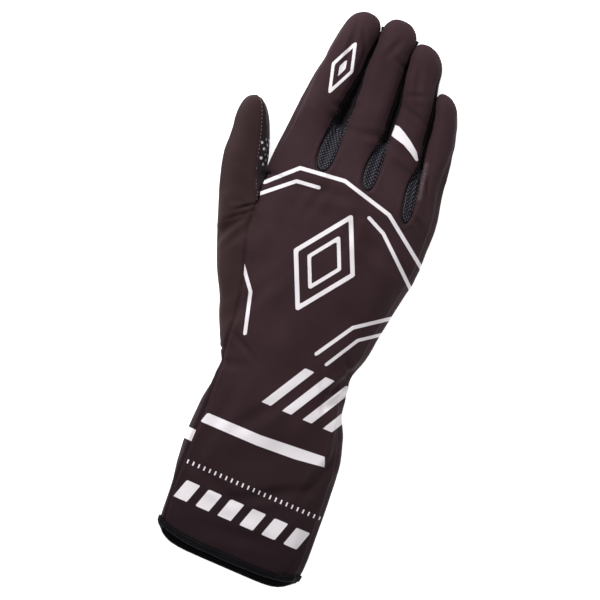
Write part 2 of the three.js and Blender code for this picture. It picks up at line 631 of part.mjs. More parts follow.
function buildSkin() {
  const ball = THUMB_BALL_ROWS.map((row) =>
    lowerSection(row, ROOT_WIDTH, mix(WEB_Y, 0, row.down)));
  for (let j = 1; j < ball.length; j += 1) {
    addBand(ball[j], ball[j - 1], (k) => ballPanel(k, j <= SEAM_MEETING_ROW));
  }
  const cuff = CUFF_ROWS.map((row) => lowerSection(row, CUFF_WIDTH, -row.down * HEM_END));
  addBand(cuff[0], ball[ball.length - 1], cuffPanel);
  for (let j = 1; j < cuff.length; j += 1) addBand(cuff[j], cuff[j - 1], cuffPanel);

  // The first knuckle section is the web section with closed tongues
  const web = ball[0];
  const start = [web[5], web[5], ...web.slice(5, 10)];
  for (const first of [9, 13, 17]) {
    start.push(web[first], web[first], web[first], web[first]);
    start.push(...web.slice(first + 1, first + 5));
  }
  start.push(...web.slice(22, 35));
  const depths = TONGUE_STATIONS.map((share) => share * TONGUE_LENGTH);
  depths.push(TONGUE_LENGTH + LITTLE_TONGUE_EXTRA);
  const knuckles = [rootSection(), ...depths.map(knuckleSection), start];
  for (let j = 1; j < knuckles.length; j += 1) addBand(knuckles[j], knuckles[j - 1], knucklePanel);

  FINGERS.forEach((finger, i) => {
    let previous = fingerSection(i, 0);
    for (const share of FINGER_STATIONS) {
      const next = fingerSection(i, share);
      addBand(previous, next, (k) => fingerPanel(i, k));
      previous = next;
    }
    const tips = fingerSection(i, 1);
    addTip(previous, tips[4], (k) => fingerPanel(i, k));
  });

  let previous = [...web.slice(0, 6), web[36], web[37]];
  const thumbPanel = (k) => (k < 4 ? "thumb_back" : "thumb_front");
  for (const row of THUMB_ROWS) {
    const next = thumbSection(row);
    addBand(previous, next, thumbPanel);
    previous = next;
  }
  const tip = {
    x: (THUMB_BALL_ROWS[0].seam * ROOT_WIDTH) + THUMB_TIP * THUMB_WIDTH,
    y: WEB_Y + THUMB_LENGTH,
    z: THUMB_SIDE * HAND_HEIGHT,
  };
  addTip(previous, tip, thumbPanel);
  return cuff[cuff.length - 1].map(pointIndex);
}

const hem = buildSkin();

// Outward direction and mitre length at every skin point
function skinNormals() {
  const normals = skin.points.map(() => new THREE.Vector3());
  const flats = skin.faces.map((face) => {
    const [a, b, c] = face.corners.map((i) => skin.points[i]);
    return new THREE.Vector3().subVectors(b, a).cross(new THREE.Vector3().subVectors(c, a)).normalize();
  });
  skin.faces.forEach((face, f) => {
    face.corners.forEach((corner, k) => {
      const here = skin.points[corner];
      const one = skin.points[face.corners[(k + 1) % 3]].clone().sub(here);
      const two = skin.points[face.corners[(k + 2) % 3]].clone().sub(here);
      normals[corner].addScaledVector(flats[f], one.angleTo(two));
    });
  });
  normals.forEach((n) => n.normalize());
  const lean = skin.points.map(() => ({ sum: 0, count: 0 }));
  skin.faces.forEach((face, f) => {
    for (const corner of face.corners) {
      lean[corner].sum += Math.max(normals[corner].dot(flats[f]), LEAST_LEAN);
      lean[corner].count += 1;
    }
  });
  const mitres = lean.map((l) => Math.min(l.count / l.sum, MITRE_LIMIT));
  return { normals, mitres, flats };
}

const { normals, mitres, flats } = skinNormals();

function innerPoint(index) {
  return skin.points[index].clone().addScaledVector(normals[index], -WALL * mitres[index]);
}

// One panel: its outer faces, the same faces a wall further in, and a rim round the edge
function panelMesh(name, colour, roughness) {
  const faces = [];
  skin.faces.forEach((face, f) => {
    if (face.panel === name) faces.push({ corners: face.corners, flat: flats[f] });
  });
  const edges = new Map();
  for (const face of faces) {
    for (let k = 0; k < 3; k += 1) {
      const a = face.corners[k];
      const b = face.corners[(k + 1) % 3];
      const back = `${b} ${a}`;
      if (edges.has(back)) edges.delete(back);
      else edges.set(`${a} ${b}`, { a, b, flat: face.flat });
    }
  }
  const pulls = new Map();
  for (const edge of edges.values()) {
    const run = skin.points[edge.b].clone().sub(skin.points[edge.a]);
    const inward = edge.flat.clone().cross(run).normalize();
    for (const end of [edge.a, edge.b]) {
      if (!pulls.has(end)) pulls.set(end, []);
      pulls.get(end).push(inward);
    }
  }
  const shift = (index) => {
    const sides = pulls.get(index);
    if (!sides || hem.includes(index) && sides.length < 2) return new THREE.Vector3();
    const sum = sides.reduce((total, side) => total.add(side), new THREE.Vector3());
    const width = sum.length() / sides.length;
    const size = Math.min(1 / Math.max(width, LEAST_PULL), RIM_LIMIT);
    return sum.normalize().multiplyScalar(size * SEAM_GAP / 2);
  };
  const numbers = new Map();
  const positions = [];
  const number = (index, inner) => {
    const key = `${index} ${inner}`;
    if (!numbers.has(key)) {
      const point = inner ? innerPoint(index) : skin.points[index].clone();
      point.add(shift(index));
      point.z = Math.max(point.z, 0);
      numbers.set(key, positions.length / 3);
      positions.push(point.x, point.y, point.z);
    }
    return numbers.get(key);
  };
  const triangles = [];
  for (const face of faces) {
    const [a, b, c] = face.corners;
    triangles.push(number(a, false), number(b, false), number(c, false));
    triangles.push(number(a, true), number(c, true), number(b, true));
  }
  for (const edge of edges.values()) {
    const outerA = number(edge.a, false);
    const outerB = number(edge.b, false);
    const innerA = number(edge.a, true);
    const innerB = number(edge.b, true);
    if (edge.a < edge.b) {
      triangles.push(outerB, outerA, innerA, outerB, innerA, innerB);
    } else {
      triangles.push(outerB, outerA, innerB, outerA, innerA, innerB);
    }
  }
  return meshOf(name, positions, triangles, colour, roughness);
}

function meshOf(name, positions, triangles, colour, roughness) {
  const geometry = new THREE.BufferGeometry();
  geometry.setAttribute("position", new THREE.Float32BufferAttribute(positions, 3));
  geometry.setIndex(triangles);
  const material = new THREE.MeshStandardMaterial({ color: colour, roughness, metalness: 0 });
  const mesh = new THREE.Mesh(geometry, material);
  mesh.name = name;
  return mesh;
}

// Folded tape over the hem: one leg outside, one inside, closed round the mouth
function bindingMesh(name, colour, roughness) {
  const row = CUFF_ROWS[CUFF_ROWS.length - 1];
  const before = CUFF_ROWS[CUFF_ROWS.length - 2];
  const above = lowerSection(before, CUFF_WIDTH, -before.down * HEM_END);
  const mouth = lowerSection(row, CUFF_WIDTH, -row.down * HEM_END);
  const near = SEAM_GAP;
  const far = SEAM_GAP + BINDING_THICKNESS;
  const positions = [];
  const triangles = [];
  const corners = 8;
  mouth.forEach((point, k) => {
    const outer = new THREE.Vector3(point.x, point.y, point.z);
    const up = new THREE.Vector3(above[k].x, above[k].y, above[k].z).sub(outer).normalize();
    const out = normals[hem[k]].clone();
    out.addScaledVector(up, -out.dot(up)).normalize();
    const inner = outer.clone().addScaledVector(out, -WALL * mitres[hem[k]]);
    const at = (base, side, along) =>
      base.clone().addScaledVector(out, side).addScaledVector(up, along);
    const ring = [
      at(outer, far, BINDING_WIDTH),
      at(outer, far, -far),
      at(inner, -far, -far),
      at(inner, -far, BINDING_WIDTH),
      at(inner, -near, BINDING_WIDTH),
      at(inner, -near, -near),
      at(outer, near, -near),
      at(outer, near, BINDING_WIDTH),
    ];
    for (const p of ring) positions.push(p.x, p.y, p.z);
  });
  for (let k = 0; k < mouth.length; k += 1) {
    const next = (k + 1) % mouth.length;
    for (let c = 0; c < corners; c += 1) {
      const d = (c + 1) % corners;
      const a = k * corners + c;
      const b = k * corners + d;
      const e = next * corners + c;
      const f = next * corners + d;
      triangles.push(a, f, e, a, b, f);
    }
  }
  return meshOf(name, positions, triangles, colour, roughness);
}

const glove = new THREE.Group();
glove.add(panelMesh("back_panel", "#3b2f31", 0.9));
glove.add(panelMesh("palm_panel", "#2b2628", 0.85));
glove.add(panelMesh("thumb_back", "#3a2e30", 0.9));
glove.add(panelMesh("thumb_front", "#262226", 0.85));
for (const name of FOURCHETTES) glove.add(panelMesh(name, "#1a1920", 0.8));
glove.add(panelMesh("cuff_under", "#352a2c", 0.9));
glove.add(bindingMesh("cuff_binding", "#131215", 0.8));

// The origin is the middle of the bottom of the whole glove
const box = new THREE.Box3().setFromObject(glove);
const centre = box.getCenter(new THREE.Vector3());
for (const mesh of glove.children) mesh.geometry.translate(-centre.x, -centre.y, -box.min.z);

export default glove;
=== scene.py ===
import bpy
import math
import numpy as np
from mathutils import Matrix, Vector, noise
from mathutils.kdtree import KDTree


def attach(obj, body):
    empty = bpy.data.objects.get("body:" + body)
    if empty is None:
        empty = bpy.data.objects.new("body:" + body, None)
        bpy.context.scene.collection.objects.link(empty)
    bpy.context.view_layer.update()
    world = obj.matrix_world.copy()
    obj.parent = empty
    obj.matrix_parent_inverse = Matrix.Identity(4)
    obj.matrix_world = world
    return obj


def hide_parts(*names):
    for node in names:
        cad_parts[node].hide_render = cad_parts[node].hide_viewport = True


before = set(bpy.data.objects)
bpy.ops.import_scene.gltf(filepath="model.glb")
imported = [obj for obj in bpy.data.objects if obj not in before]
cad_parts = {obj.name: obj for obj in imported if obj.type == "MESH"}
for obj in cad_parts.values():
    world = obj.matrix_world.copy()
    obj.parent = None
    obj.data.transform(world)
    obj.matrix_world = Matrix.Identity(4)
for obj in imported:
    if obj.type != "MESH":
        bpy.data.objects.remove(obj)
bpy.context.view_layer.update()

# Sizes in millimetres, as in the part; cloth, clearance, rolls and lips of the mouth are finer here
PALM_LENGTH = 133.1
CUFF_LENGTH = 104.0
MIDDLE_LENGTH = 60.3
LITTLE_ROOT_DROP = 5.9
THUMB_LENGTH = 35.6
TONGUE_LENGTH = 28.9
LITTLE_TONGUE_EXTRA = 8.0
WEB_EXTRA = 4.2
THUMB_WIDTH = 25.0
CUFF_WIDTH = 81.9
HAND_HEIGHT = 26.0
WRIST_LIFT = 1.6
FOLD_DEPTH = 2.4
WALL = 1.2
FINGER_CLEARANCE = 0.12
SIDE_ROLL = 2.4
FINGER_ROLL = 0.5
SEAM_INSET = 1.2
BINDING_THICKNESS = 0.9
BINDING_WIDTH = 2.6
UNDER_LIP_BOW = 8.3
TOP_LIP_BOW = 4.5
UNDER_LIP_POWER = 7.0
TOP_LIP_POWER = 4.0
CAP_START = 0.81
CAP_POWER = 2.3
DOME_POWER = 2.6
ARCH_POWER = 2.4
WALL_LEAN = 0.3
SOLE_EDGE = 0.18
ROUND = 0.5
SEAM_GAP = 0.3
TINY = 1e-6
FAR = 1e3

# Shares of a finger's length: its sides close, its roll has narrowed, its sides are shut
SIDE_CLOSE_START = 0.69
SIDE_CLOSE_LENGTH = 0.2
ROLL_END = 0.4
SIDE_CLOSED = 0.885

# Shares of the width or height of a section, and of a root's drop
SIDE_INSET = 0.25
SOLE_OUTER = 0.3
SOLE_INNER = 0.7
SOLE_DROP = 0.2
TROUGH_LEAN = 0.56
TROUGH_FOLD = 0.6
ROLL_BLEND = 0.35
LOW_SIDE = 0.135
THUMB_SIDE = 0.27
THUMB_RISE = 0.38
THUMB_TIP = -0.821
THUMB_LOW_INSET = 0.05
THUMB_SIDE_INSET = 0.012
THUMB_SEAM_TURN = 128

# Relief, weave and small parts
SOFT_ROUNDS = 40
SOFT_STEP = 0.6
WRINKLE_GAIN = 2.4
FACES_DOWN = -0.6
KNIT_PITCH = 0.9
MESH_PITCH = 1.9
TICK_PITCH = 3.1
TAPE_PITCH = 0.8
TAPE_GAP = 0.1
FOLD_STEPS = 7
END_ROOM = 0.6
BEAD_SIDES = 6
FLOOR_Z = -0.4
FLOOR_REACH = 2000

FINGERS = [
    dict(name="index", width=20.4, length=56.9, height=15.5, lean=0.03),
    dict(name="middle", width=18.6, length=60.3, height=15.5, lean=-0.02),
    dict(name="ring", width=18.5, length=53.3, height=15.0, lean=-0.11),
    dict(name="little", width=12.8, length=39.2, height=12.5, lean=-0.1),
]
GAPS = [
    dict(name="first", gap=7.0, tongue=9.2, end=0.29),
    dict(name="second", gap=5.1, tongue=7.9, end=0.573),
    dict(name="third", gap=4.05, tongue=6.7, end=0.846),
]
ROOT_WIDTH = sum(f["width"] for f in FINGERS) + sum(g["gap"] for g in GAPS)
WEB_DEPTH = TONGUE_LENGTH + LITTLE_TONGUE_EXTRA + WEB_EXTRA
TONGUE_ENDS = [TONGUE_LENGTH, TONGUE_LENGTH, TONGUE_LENGTH + LITTLE_TONGUE_EXTRA]
HEM_END = CUFF_LENGTH - SEAM_GAP - BINDING_THICKNESS
HEM_LIFT = SEAM_GAP + BINDING_THICKNESS
ROOT_Y = PALM_LENGTH
# From the measures above, which start at the wrist line, to the middle of the glove
SHIFT_X = 7.031
SHIFT_Y = -44.731
WEB_Y = ROOT_Y - WEB_DEPTH


def hermite(t, p1, m1, p2, m2):
    """Cubic from p1 to p2 with the slopes m1 and m2."""
    return ((2 * t**3 - 3 * t**2 + 1) * p1 + (t**3 - 2 * t**2 + t) * m1
            + (3 * t**2 - 2 * t**3) * p2 + (t**3 - t**2) * m2)


class Table:
    """Smooth curves through the rows of a table, with named columns read at a place in the first one."""

    def __init__(self, names, rows):
        names = names.split()
        data = np.array(rows, float)
        order = np.argsort(data[:, 0])
        self.x = data[order, 0]
        self.columns = {n: data[order, i] for i, n in enumerate(names)}
        self.slopes = {n: self._slopes(c) for n, c in self.columns.items()}

    def _slopes(self, y):
        h = np.diff(self.x)
        d = np.diff(y) / h
        m = np.zeros_like(y)
        for i in range(1, len(y) - 1):
            if d[i - 1] * d[i] > 0:
                a = 2 * h[i] + h[i - 1]
                b = h[i] + 2 * h[i - 1]
                m[i] = (a + b) / (a / d[i - 1] + b / d[i])
        m[0], m[-1] = d[0], d[-1]
        return m

    def __call__(self, name, at):
        x, y, m = self.x, self.columns[name], self.slopes[name]
        at = min(max(at, x[0]), x[-1])
        i = min(max(int(np.searchsorted(x, at)) - 1, 0), len(x) - 2)
        h = x[i + 1] - x[i]
        t = (at - x[i]) / h
        return hermite(t, y[i], h * m[i], y[i + 1], h * m[i + 1])


PLAN = Table("along shift index middle ring little first second third", [
    [-0.1, 0, 1, 1, 1, 1, 1, 1, 1],
    [0, 0, 1, 1, 0.944, 1.045, 1, 1, 0.88],
    [0.14, -0.025, 0.977, 1.008, 0.901, 1.045, 0.88, 0.9, 0.88],
    [0.31, -0.053, 0.995, 1.008, 0.93, 1.037, 0.6, 0.79, 0.35],
    [0.48, -0.129, 1.028, 1.078, 0.986, 0.955, 0, 0.39, 0.05],
    [0.655, -0.137, 0.982, 1.064, 0.986, 0.935, 0, 0, 0],
    [0.83, -0.143, 0.913, 1.022, 0.944, 0.93, 0, 0, 0],
    [1, -0.146, 0.893, 1.008, 0.93, 0.93, 0, 0, 0],
])
FINGER = Table("along top upper side lower", [
    [0, 1.16, 0.77, 0.42, 0.23],
    [0.05, 1.13, 0.74, 0.42, 0.23],
    [0.15, 1.07, 0.68, 0.41, 0.22],
    [0.33, 1, 0.62, 0.4, 0.22],
    [0.51, 1, 0.6, 0.4, 0.22],
    [0.69, 0.98, 0.58, 0.4, 0.22],
    [0.81, 0.93, 0.56, 0.4, 0.24],
    [1, 0.85, 0.56, 0.4, 0.24],
])
KNUCKLE_ROWS = [
    # down, left, right, top, side, low, lobe, web, skew
    [0, -0.5, 0.5, 0.73, 0.25, 0.135, 1, 1, 1],
    [0.063, -0.502, 0.503, 0.75, 0.25, 0.14, 0.92, 0.6, 0.93],
    [0.139, -0.505, 0.506, 0.78, 0.25, 0.14, 0.82, 0.3, 0.85],
    [0.266, -0.508, 0.514, 0.82, 0.255, 0.14, 0.62, 0.08, 0.7],
    [0.405, -0.512, 0.526, 0.87, 0.26, 0.15, 0.4, 0, 0.55],
    [0.557, -0.516, 0.541, 0.91, 0.265, 0.15, 0.2, 0, 0.38],
    [0.7025, -0.518, 0.551, 0.94, 0.27, 0.16, 0.08, 0, 0.22],
    [0.899, -0.52, 0.557, 0.96, 0.27, 0.19, 0, 0, 0],
    [1, -0.502, 0.5584, 0.97, 0.27, 0.27, 0, 0, 0],
]
KNUCKLE = Table("down left right top side low lobe web skew", KNUCKLE_ROWS)
TONGUE = Table("along full root depth", [
    [0, 0, 0, 0],
    [0.02, 0.34, 0, 0.003],
    [0.06, 0.6, 0, 0.01],
    [0.2, 0.9, 0, 0.03],
    [0.42, 1, 0, 0.05],
    [0.62, 0.9, 0.08, 0.09],
    [0.8, 0.5, 0.45, 0.18],
    [0.91, 0.22, 0.76, 0.42],
    [1, 0, 1, 1],
])
BALL_ROWS = [
    # down, seam, right, ball, thumb, top, side, lobe, web, turn, mark, roll, lift
    [0, -0.502, 0.5584, -0.502, 1, 0.97, 0.27, 0.65, 0.27, 180, 128, 0.5, 0],
    [0.051, -0.503, 0.56, -0.472, 0.95, 0.98, 0.29, 0.66, 0.13, 152, 131, 0.75, 0],
    [0.102, -0.498, 0.562, -0.442, 0.904, 0.99, 0.3, 0.66, 0.05, 138, 129, 0.85, 0],
    [0.153, -0.492, 0.564, -0.418, 0.863, 1, 0.31, 0.67, 0.015, 124, 124, 0.92, 0],
    [0.232, -0.485, 0.563, -0.381, 0.786, 1.01, 0.31, 0.68, 0, 112, 75, 1, 0],
    [0.311, -0.482, 0.549, -0.351, 0.688, 1.02, 0.32, 0.69, 0, 103, 69, 1, 0],
    [0.452, -0.436, 0.525, -0.321, 0.645, 1.02, 0.33, 0.71, 0, 92, 61, 1, 0],
    [0.593, -0.386, 0.504, -0.303, 0.588, 1.02, 0.34, 0.73, 0, 90, 60, 1, 0.1],
    [0.734, -0.351, 0.486, -0.294, 0.426, 1.01, 0.35, 0.73, 0, 90, 60, 1, 0.35],
    [0.876, -0.33, 0.448, -0.291, 0.281, 1, 0.36, 0.71, 0, 90, 60, 1, 0.8],
    [1, -0.315, 0.471, -0.285, 0.083, 0.98, 0.37, 0.66, 0, 90, 60, 1, 1],
]
CUFF_ROWS = [
    # down, left, right, seam, top, side, lobe, bow, rise, lift
    [0.065, -0.322, 0.511, -0.312, 0.96, 0.38, 0.64, 0, 0, 0.8],
    [0.14, -0.322, 0.557, -0.307, 0.94, 0.38, 0.64, 0, 0, 0.3],
    [0.29, -0.348, 0.622, -0.301, 0.92, 0.38, 0.66, 0, 0, 0],
    [0.44, -0.352, 0.648, -0.301, 0.9, 0.38, 0.68, 0, 0, 0],
    [0.59, -0.337, 0.661, -0.293, 0.885, 0.38, 0.66, 0.1, 0, 0],
    [0.76, -0.307, 0.673, -0.286, 0.865, 0.38, 0.64, 0.5, 0, 0],
    [0.93, -0.294, 0.68, -0.263, 0.85, 0.38, 0.63, 1, 1, 0],
    [1, -0.285, 0.672, -0.25, 0.85, 0.38, 0.62, 1, 1, 0],
]


def lower_rows():
    rows = []
    for d, seam, right, ball, thumb, top, side, lobe, web, turn, mark, roll, lift in BALL_ROWS:
        y = WEB_Y * (1 - d)
        rows.append([y, seam * ROOT_WIDTH - thumb * THUMB_WIDTH, seam * ROOT_WIDTH, right * ROOT_WIDTH,
                     ball * ROOT_WIDTH, top, side, lobe, web, turn, mark, roll, lift * WRIST_LIFT, 0])
    for d, left, right, seam, top, side, lobe, bow, rise, lift in CUFF_ROWS:
        rows.append([-d * HEM_END, left * CUFF_WIDTH, seam * CUFF_WIDTH, right * CUFF_WIDTH,
                     (seam + SOLE_EDGE / 4) * CUFF_WIDTH, top, side, lobe, 0, 90, 60, 1,
                     lift * WRIST_LIFT + rise * HEM_LIFT, bow])
    return rows


LOWER = Table("y outer seam right ball top side lobe web turn mark roll floor bow", lower_rows())
# Right edge, top and sides of the whole hand and cuff, from the finger roots to the hem
BODY = Table("y right top side",
             [[ROOT_Y - down * WEB_DEPTH, right * ROOT_WIDTH, top, side]
              for down, _, right, top, side, *_ in KNUCKLE_ROWS[:-1]]
             + [[row[0], row[3], row[5], row[6]] for row in lower_rows()])
THUMB = Table("up left right swell", [
    [0, -1.0, 0.0, 1],
    [0.117, -1.029, -0.069, 1],
    [0.248, -1.033, -0.119, 1],
    [0.423, -1.046, -0.208, 0.98],
    [0.599, -1.075, -0.312, 0.95],
    [0.73, -1.085, -0.401, 0.9],
    [0.832, -1.075, -0.489, 0.83],
    [0.92, -1.025, -0.593, 0.69],
    [0.971, -0.956, -0.696, 0.47],
    [0.995, -0.88, -0.765, 0.2],
])
# Creases: x, length and width as shares of the root width, y of the palm length, direction, depth
# x, y, direction, length, width, depth
FOLDS = [
    [-0.565, 0.461, 60, 0.1, 0.07, 1],
    [-0.545, 0.54, -40, 0.12, 0.035, 0.5],
    [0.05, 0, 4, 0.55, 0.11, 0.55],
    [0.28, 0.62, 80, 0.22, 0.07, 0.35],
    [-0.05, 0.66, 95, 0.2, 0.07, 0.35],
    [0.2, -0.3, 35, 0.3, 0.08, 0.4],
    [0.42, 0.1, 60, 0.16, 0.06, -0.3],
]
# Finer creases of the looks only, in millimetres: x, y, direction, length, width, depth
WRINKLES = [
    [-47.5, 71.5, 40, 7, 1.1, 0.5], [-48, 67.5, 43, 8, 1.1, 0.5], [-48.5, 62.5, 55, 7, 1.4, 0.5],
    [-52, 58, 72, 8, 2.4, 0.6], [-45.5, 55, 62, 6, 1.6, 0.3], [-25, 176, 118, 7, 1.3, 0.3],
    [-3, 172, 150, 5, 1.4, 0.3], [15, 150, 165, 6, 1.6, 0.3], [36, 16, 128, 9, 1.4, 0.4],
    [30, -4, 118, 12, 1.8, 0.35], [44, -16, 100, 14, 1.8, 0.4], [-30, 168, 96, 14, 1.6, 0.45],
    [-24.5, 163, 92, 12, 1.5, -0.25], [-9, 178, 70, 6, 1.8, 0.3], [9, 168, 110, 7, 2, 0.4],
    [12, 160, 20, 5, 1.5, 0.25], [35, 120, 120, 9, 1.6, 0.3], [38, 12, 62, 16, 2.4, 0.7],
    [40, 2, 50, 12, 2, 0.5], [-22, -6, 20, 9, 2.4, 0.2], [-20, 6, -30, 9, 1.8, 0.4],
    [24, -60, 30, 22, 3, 0.4], [-4, -66, -20, 18, 3, 0.3], [45, -38, 75, 20, 2.6, 0.45],
    [-8, 96, 10, 22, 3, 0.25], [22, 78, -15, 24, 3.6, 0.3], [33.5, 118, 103, 16, 1.3, -0.5],
    [-23, 132, 160, 9, 2.2, 0.3], [-20, 141, 20, 7, 1.8, 0.22], [-2, 132, 15, 8, 2.2, 0.25],
    [17, 130, -15, 8, 2.4, 0.3], [19, 122, 160, 7, 2, 0.22], [37, 100, 150, 6, 1.8, 0.25],
    [-14, 92, 75, 12, 2.6, 0.2], [8, 84, 88, 13, 2.8, 0.22], [-28, 24, 62, 26, 3.4, 0.3],
    [4, -22, 55, 20, 3.4, 0.3], [-16, -36, 84, 22, 3.2, 0.3], [18, -86, 8, 20, 3.4, 0.25],
    [48, -96, 84, 20, 2.6, 0.35],
]


def mix(a, b, t):
    return a + (b - a) * t


def clamp(value):
    return min(max(value, 0), 1)


def ease(t):
    return t * t * (3 - 2 * t)


def dome(u, shape, power=ROUND):
    return max(1 - abs(u) ** shape, 0) ** power


def turned(dx, dy, degrees):
    """Distances along and across a direction."""
    c, s = math.cos(math.radians(degrees)), math.sin(math.radians(degrees))
    return dx * c + dy * s, dy * c - dx * s


def fold_depth(x, y):
    total = 0.0
    for fx, fy, turn, long, wide, depth in FOLDS:
        a, b = turned(x - fx * ROOT_WIDTH, y - fy * PALM_LENGTH, turn)
        a, b = a / (long * ROOT_WIDTH), b / (wide * ROOT_WIDTH)
        total = total + depth * FOLD_DEPTH * np.exp(-a * a - b * b)
    return total


def finger_edges(y):
    """Left and right edges of the fingers, the gaps between them and how far each is open."""
    at = (y - ROOT_Y) / MIDDLE_LENGTH
    widths = [f["width"] * PLAN(f["name"], at) for f in FINGERS]
    opens = [clamp(PLAN(g["name"], at)) for g in GAPS]
    gaps = [mix(FINGER_CLEARANCE, g["gap"], o) for g, o in zip(GAPS, opens)]
    middle = -ROOT_WIDTH / 2 + FINGERS[0]["width"] + GAPS[0]["gap"] + FINGERS[1]["width"] / 2
    centre = middle + PLAN("shift", at) * FINGERS[1]["width"]
    left = [0, centre - widths[1] / 2, 0, 0]
    left[0] = left[1] - gaps[0] - widths[0]
    left[2] = left[1] + widths[1] + gaps[1]
    left[3] = left[2] + widths[2] + gaps[2]
    return left, [a + w for a, w in zip(left, widths)], gaps, opens


# Each section is a closed row of key points, clockwise from the lower left
STEPS = 8
ARCH = [(1 - math.cos(math.pi * k / STEPS)) / 2 for k in range(STEPS + 1)]
LOW, MIDDLE, HIGH = range(3)


def finger_keys(i, share):
    """Left wall 2, arch STEPS + 1, right wall 2, sole 2."""
    f = FINGERS[i]
    top, up, side, low = (FINGER(n, share) * f["height"] for n in ("top", "upper", "side", "lower"))
    sides = 1 - ease(clamp((share - SIDE_CLOSE_START) / SIDE_CLOSE_LENGTH))
    upper, lower = mix(side, up, sides), mix(side, low, sides)
    tip = max((share - CAP_START) / (1 - CAP_START), 0)
    cap = max(1 - tip**CAP_POWER, 0) ** (1 / CAP_POWER)
    roll = mix(SIDE_ROLL, FINGER_ROLL, ease(min(share / ROLL_END, 1)))
    left_drop = LITTLE_ROOT_DROP if i == 3 else 0
    right_drop = LITTLE_ROOT_DROP if i >= 2 else 0

    def insets(gap, opened, outer):
        """How far the low, middle and high seam of a side stand in from its edge."""
        if outer:
            return SEAM_INSET, 0, roll
        return -gap / 2, -gap * opened * WALL_LEAN, SEAM_INSET * (1 - opened)

    def place(across, height, level=None):
        y = mix(ROOT_Y - mix(left_drop, right_drop, across), ROOT_Y - left_drop + f["length"], share)
        left, right, gaps, opens = finger_edges(y)
        x = mix(left[i], right[i], across)
        if level is not None:
            before = insets(gaps[max(i - 1, 0)], opens[max(i - 1, 0)], i == 0)
            after = insets(gaps[min(i, 2)], opens[min(i, 2)], i == 3)
            x += mix(before[level], -after[level], across) * sides
        middle = (left[i] + right[i]) / 2
        lean = f["lean"] * f["width"] * tip * tip
        return [middle + (x - middle) * cap + lean, y, mix(side, height, cap)]

    keys = [place(0, lower, LOW), place(0, side, MIDDLE)]
    keys += [place(t, upper + (top - upper) * dome(2 * t - 1, ARCH_POWER), HIGH) for t in ARCH]
    keys += [place(1, side, MIDDLE), place(1, lower, LOW), place(1 - SOLE_EDGE, 0), place(SOLE_EDGE, 0)]
    return np.array(keys)


def lower_keys(y):
    """Thumb side 6, back 4 x STEPS, right side 2, sole 11, ball of the thumb 1, its sole 2."""
    names = ("outer", "seam", "ball", "lobe", "web", "turn", "mark", "roll", "floor")
    outer, seam, ball, lobe, web, turn, mark, roll, floor = (LOWER(n, y) for n in names)
    right, side, top = BODY("right", y), BODY("side", y) * HAND_HEIGHT, BODY("top", y) * HAND_HEIGHT
    lobe, low, turn, mark = lobe * HAND_HEIGHT, LOW_SIDE * HAND_HEIGHT, math.radians(turn), math.radians(mark)
    reach = (seam - outer) / (1 - math.cos(turn))
    seam_height = side + (lobe - side) * math.sin(turn)
    back_end = right - SIDE_ROLL

    def on_lobe(angle):
        x = outer + reach * (1 - math.cos(angle))
        return [x, y, side + (lobe - side - fold_depth(x, y)) * math.sin(angle)]

    def on_back(x):
        u = (2 * x - seam - right) / (right - seam)
        base = mix(seam_height, side, (u + 1) / 2)
        power = mix(roll, ROUND, ease(clamp((u + ROLL_BLEND) / (2 * ROLL_BLEND))))
        return [x, y, base + (top - base) * dome(u, DOME_POWER, power) - fold_depth(x, y)]

    def below(x, z=0.0):
        return [x, y, max(z, 0) + floor]

    keys = [below(outer + SEAM_INSET, low),
            [outer + SEAM_INSET * SIDE_INSET, y, mix(low + floor, side, 0.5)],
            on_lobe(0), on_lobe(mark / 2), on_lobe(mark), on_lobe(turn)]
    ends = [seam] + [mix(seam, back_end, g["end"]) for g in GAPS] + [back_end]
    for i in range(4):
        keys += [on_back(mix(ends[i], ends[i + 1], t)) for t in ARCH[1:]]
    keys += [[right, y, side], below(right - SEAM_INSET, low)]
    sole = [ball] + [mix(ball, back_end, g["end"]) for g in GAPS] + [right]
    for i in (3, 2, 1, 0):
        edge = (sole[i + 1] - sole[i]) * SOLE_EDGE
        keys += [below(sole[i + 1] - edge), below(sole[i] + edge)]
        if i:
            keys.append(below(sole[i]))
    keys.append(list(keys[5]) if y >= WEB_Y - TINY else below(ball, web * HAND_HEIGHT))
    return np.array(keys + [below(mix(outer, ball, SOLE_INNER)), below(mix(outer, ball, SOLE_OUTER))])


def lower_ring(y):
    ring = refine(lower_keys(y), COUNTS_LOWER)
    left, right = ring[:, 0].min(), ring[:, 0].max()
    u = np.abs(np.clip((2 * ring[:, 0] - left - right) / (right - left), -1, 1))
    under = np.ones(len(ring), bool)
    under[sum(COUNTS_LOWER[:2]):sum(COUNTS_LOWER[:38])] = False
    top_lip = UNDER_LIP_BOW - TOP_LIP_BOW * (1 - u**TOP_LIP_POWER)
    ring[:, 1] += LOWER("bow", y) * np.where(under, UNDER_LIP_BOW * u**UNDER_LIP_POWER, top_lip)
    return ring


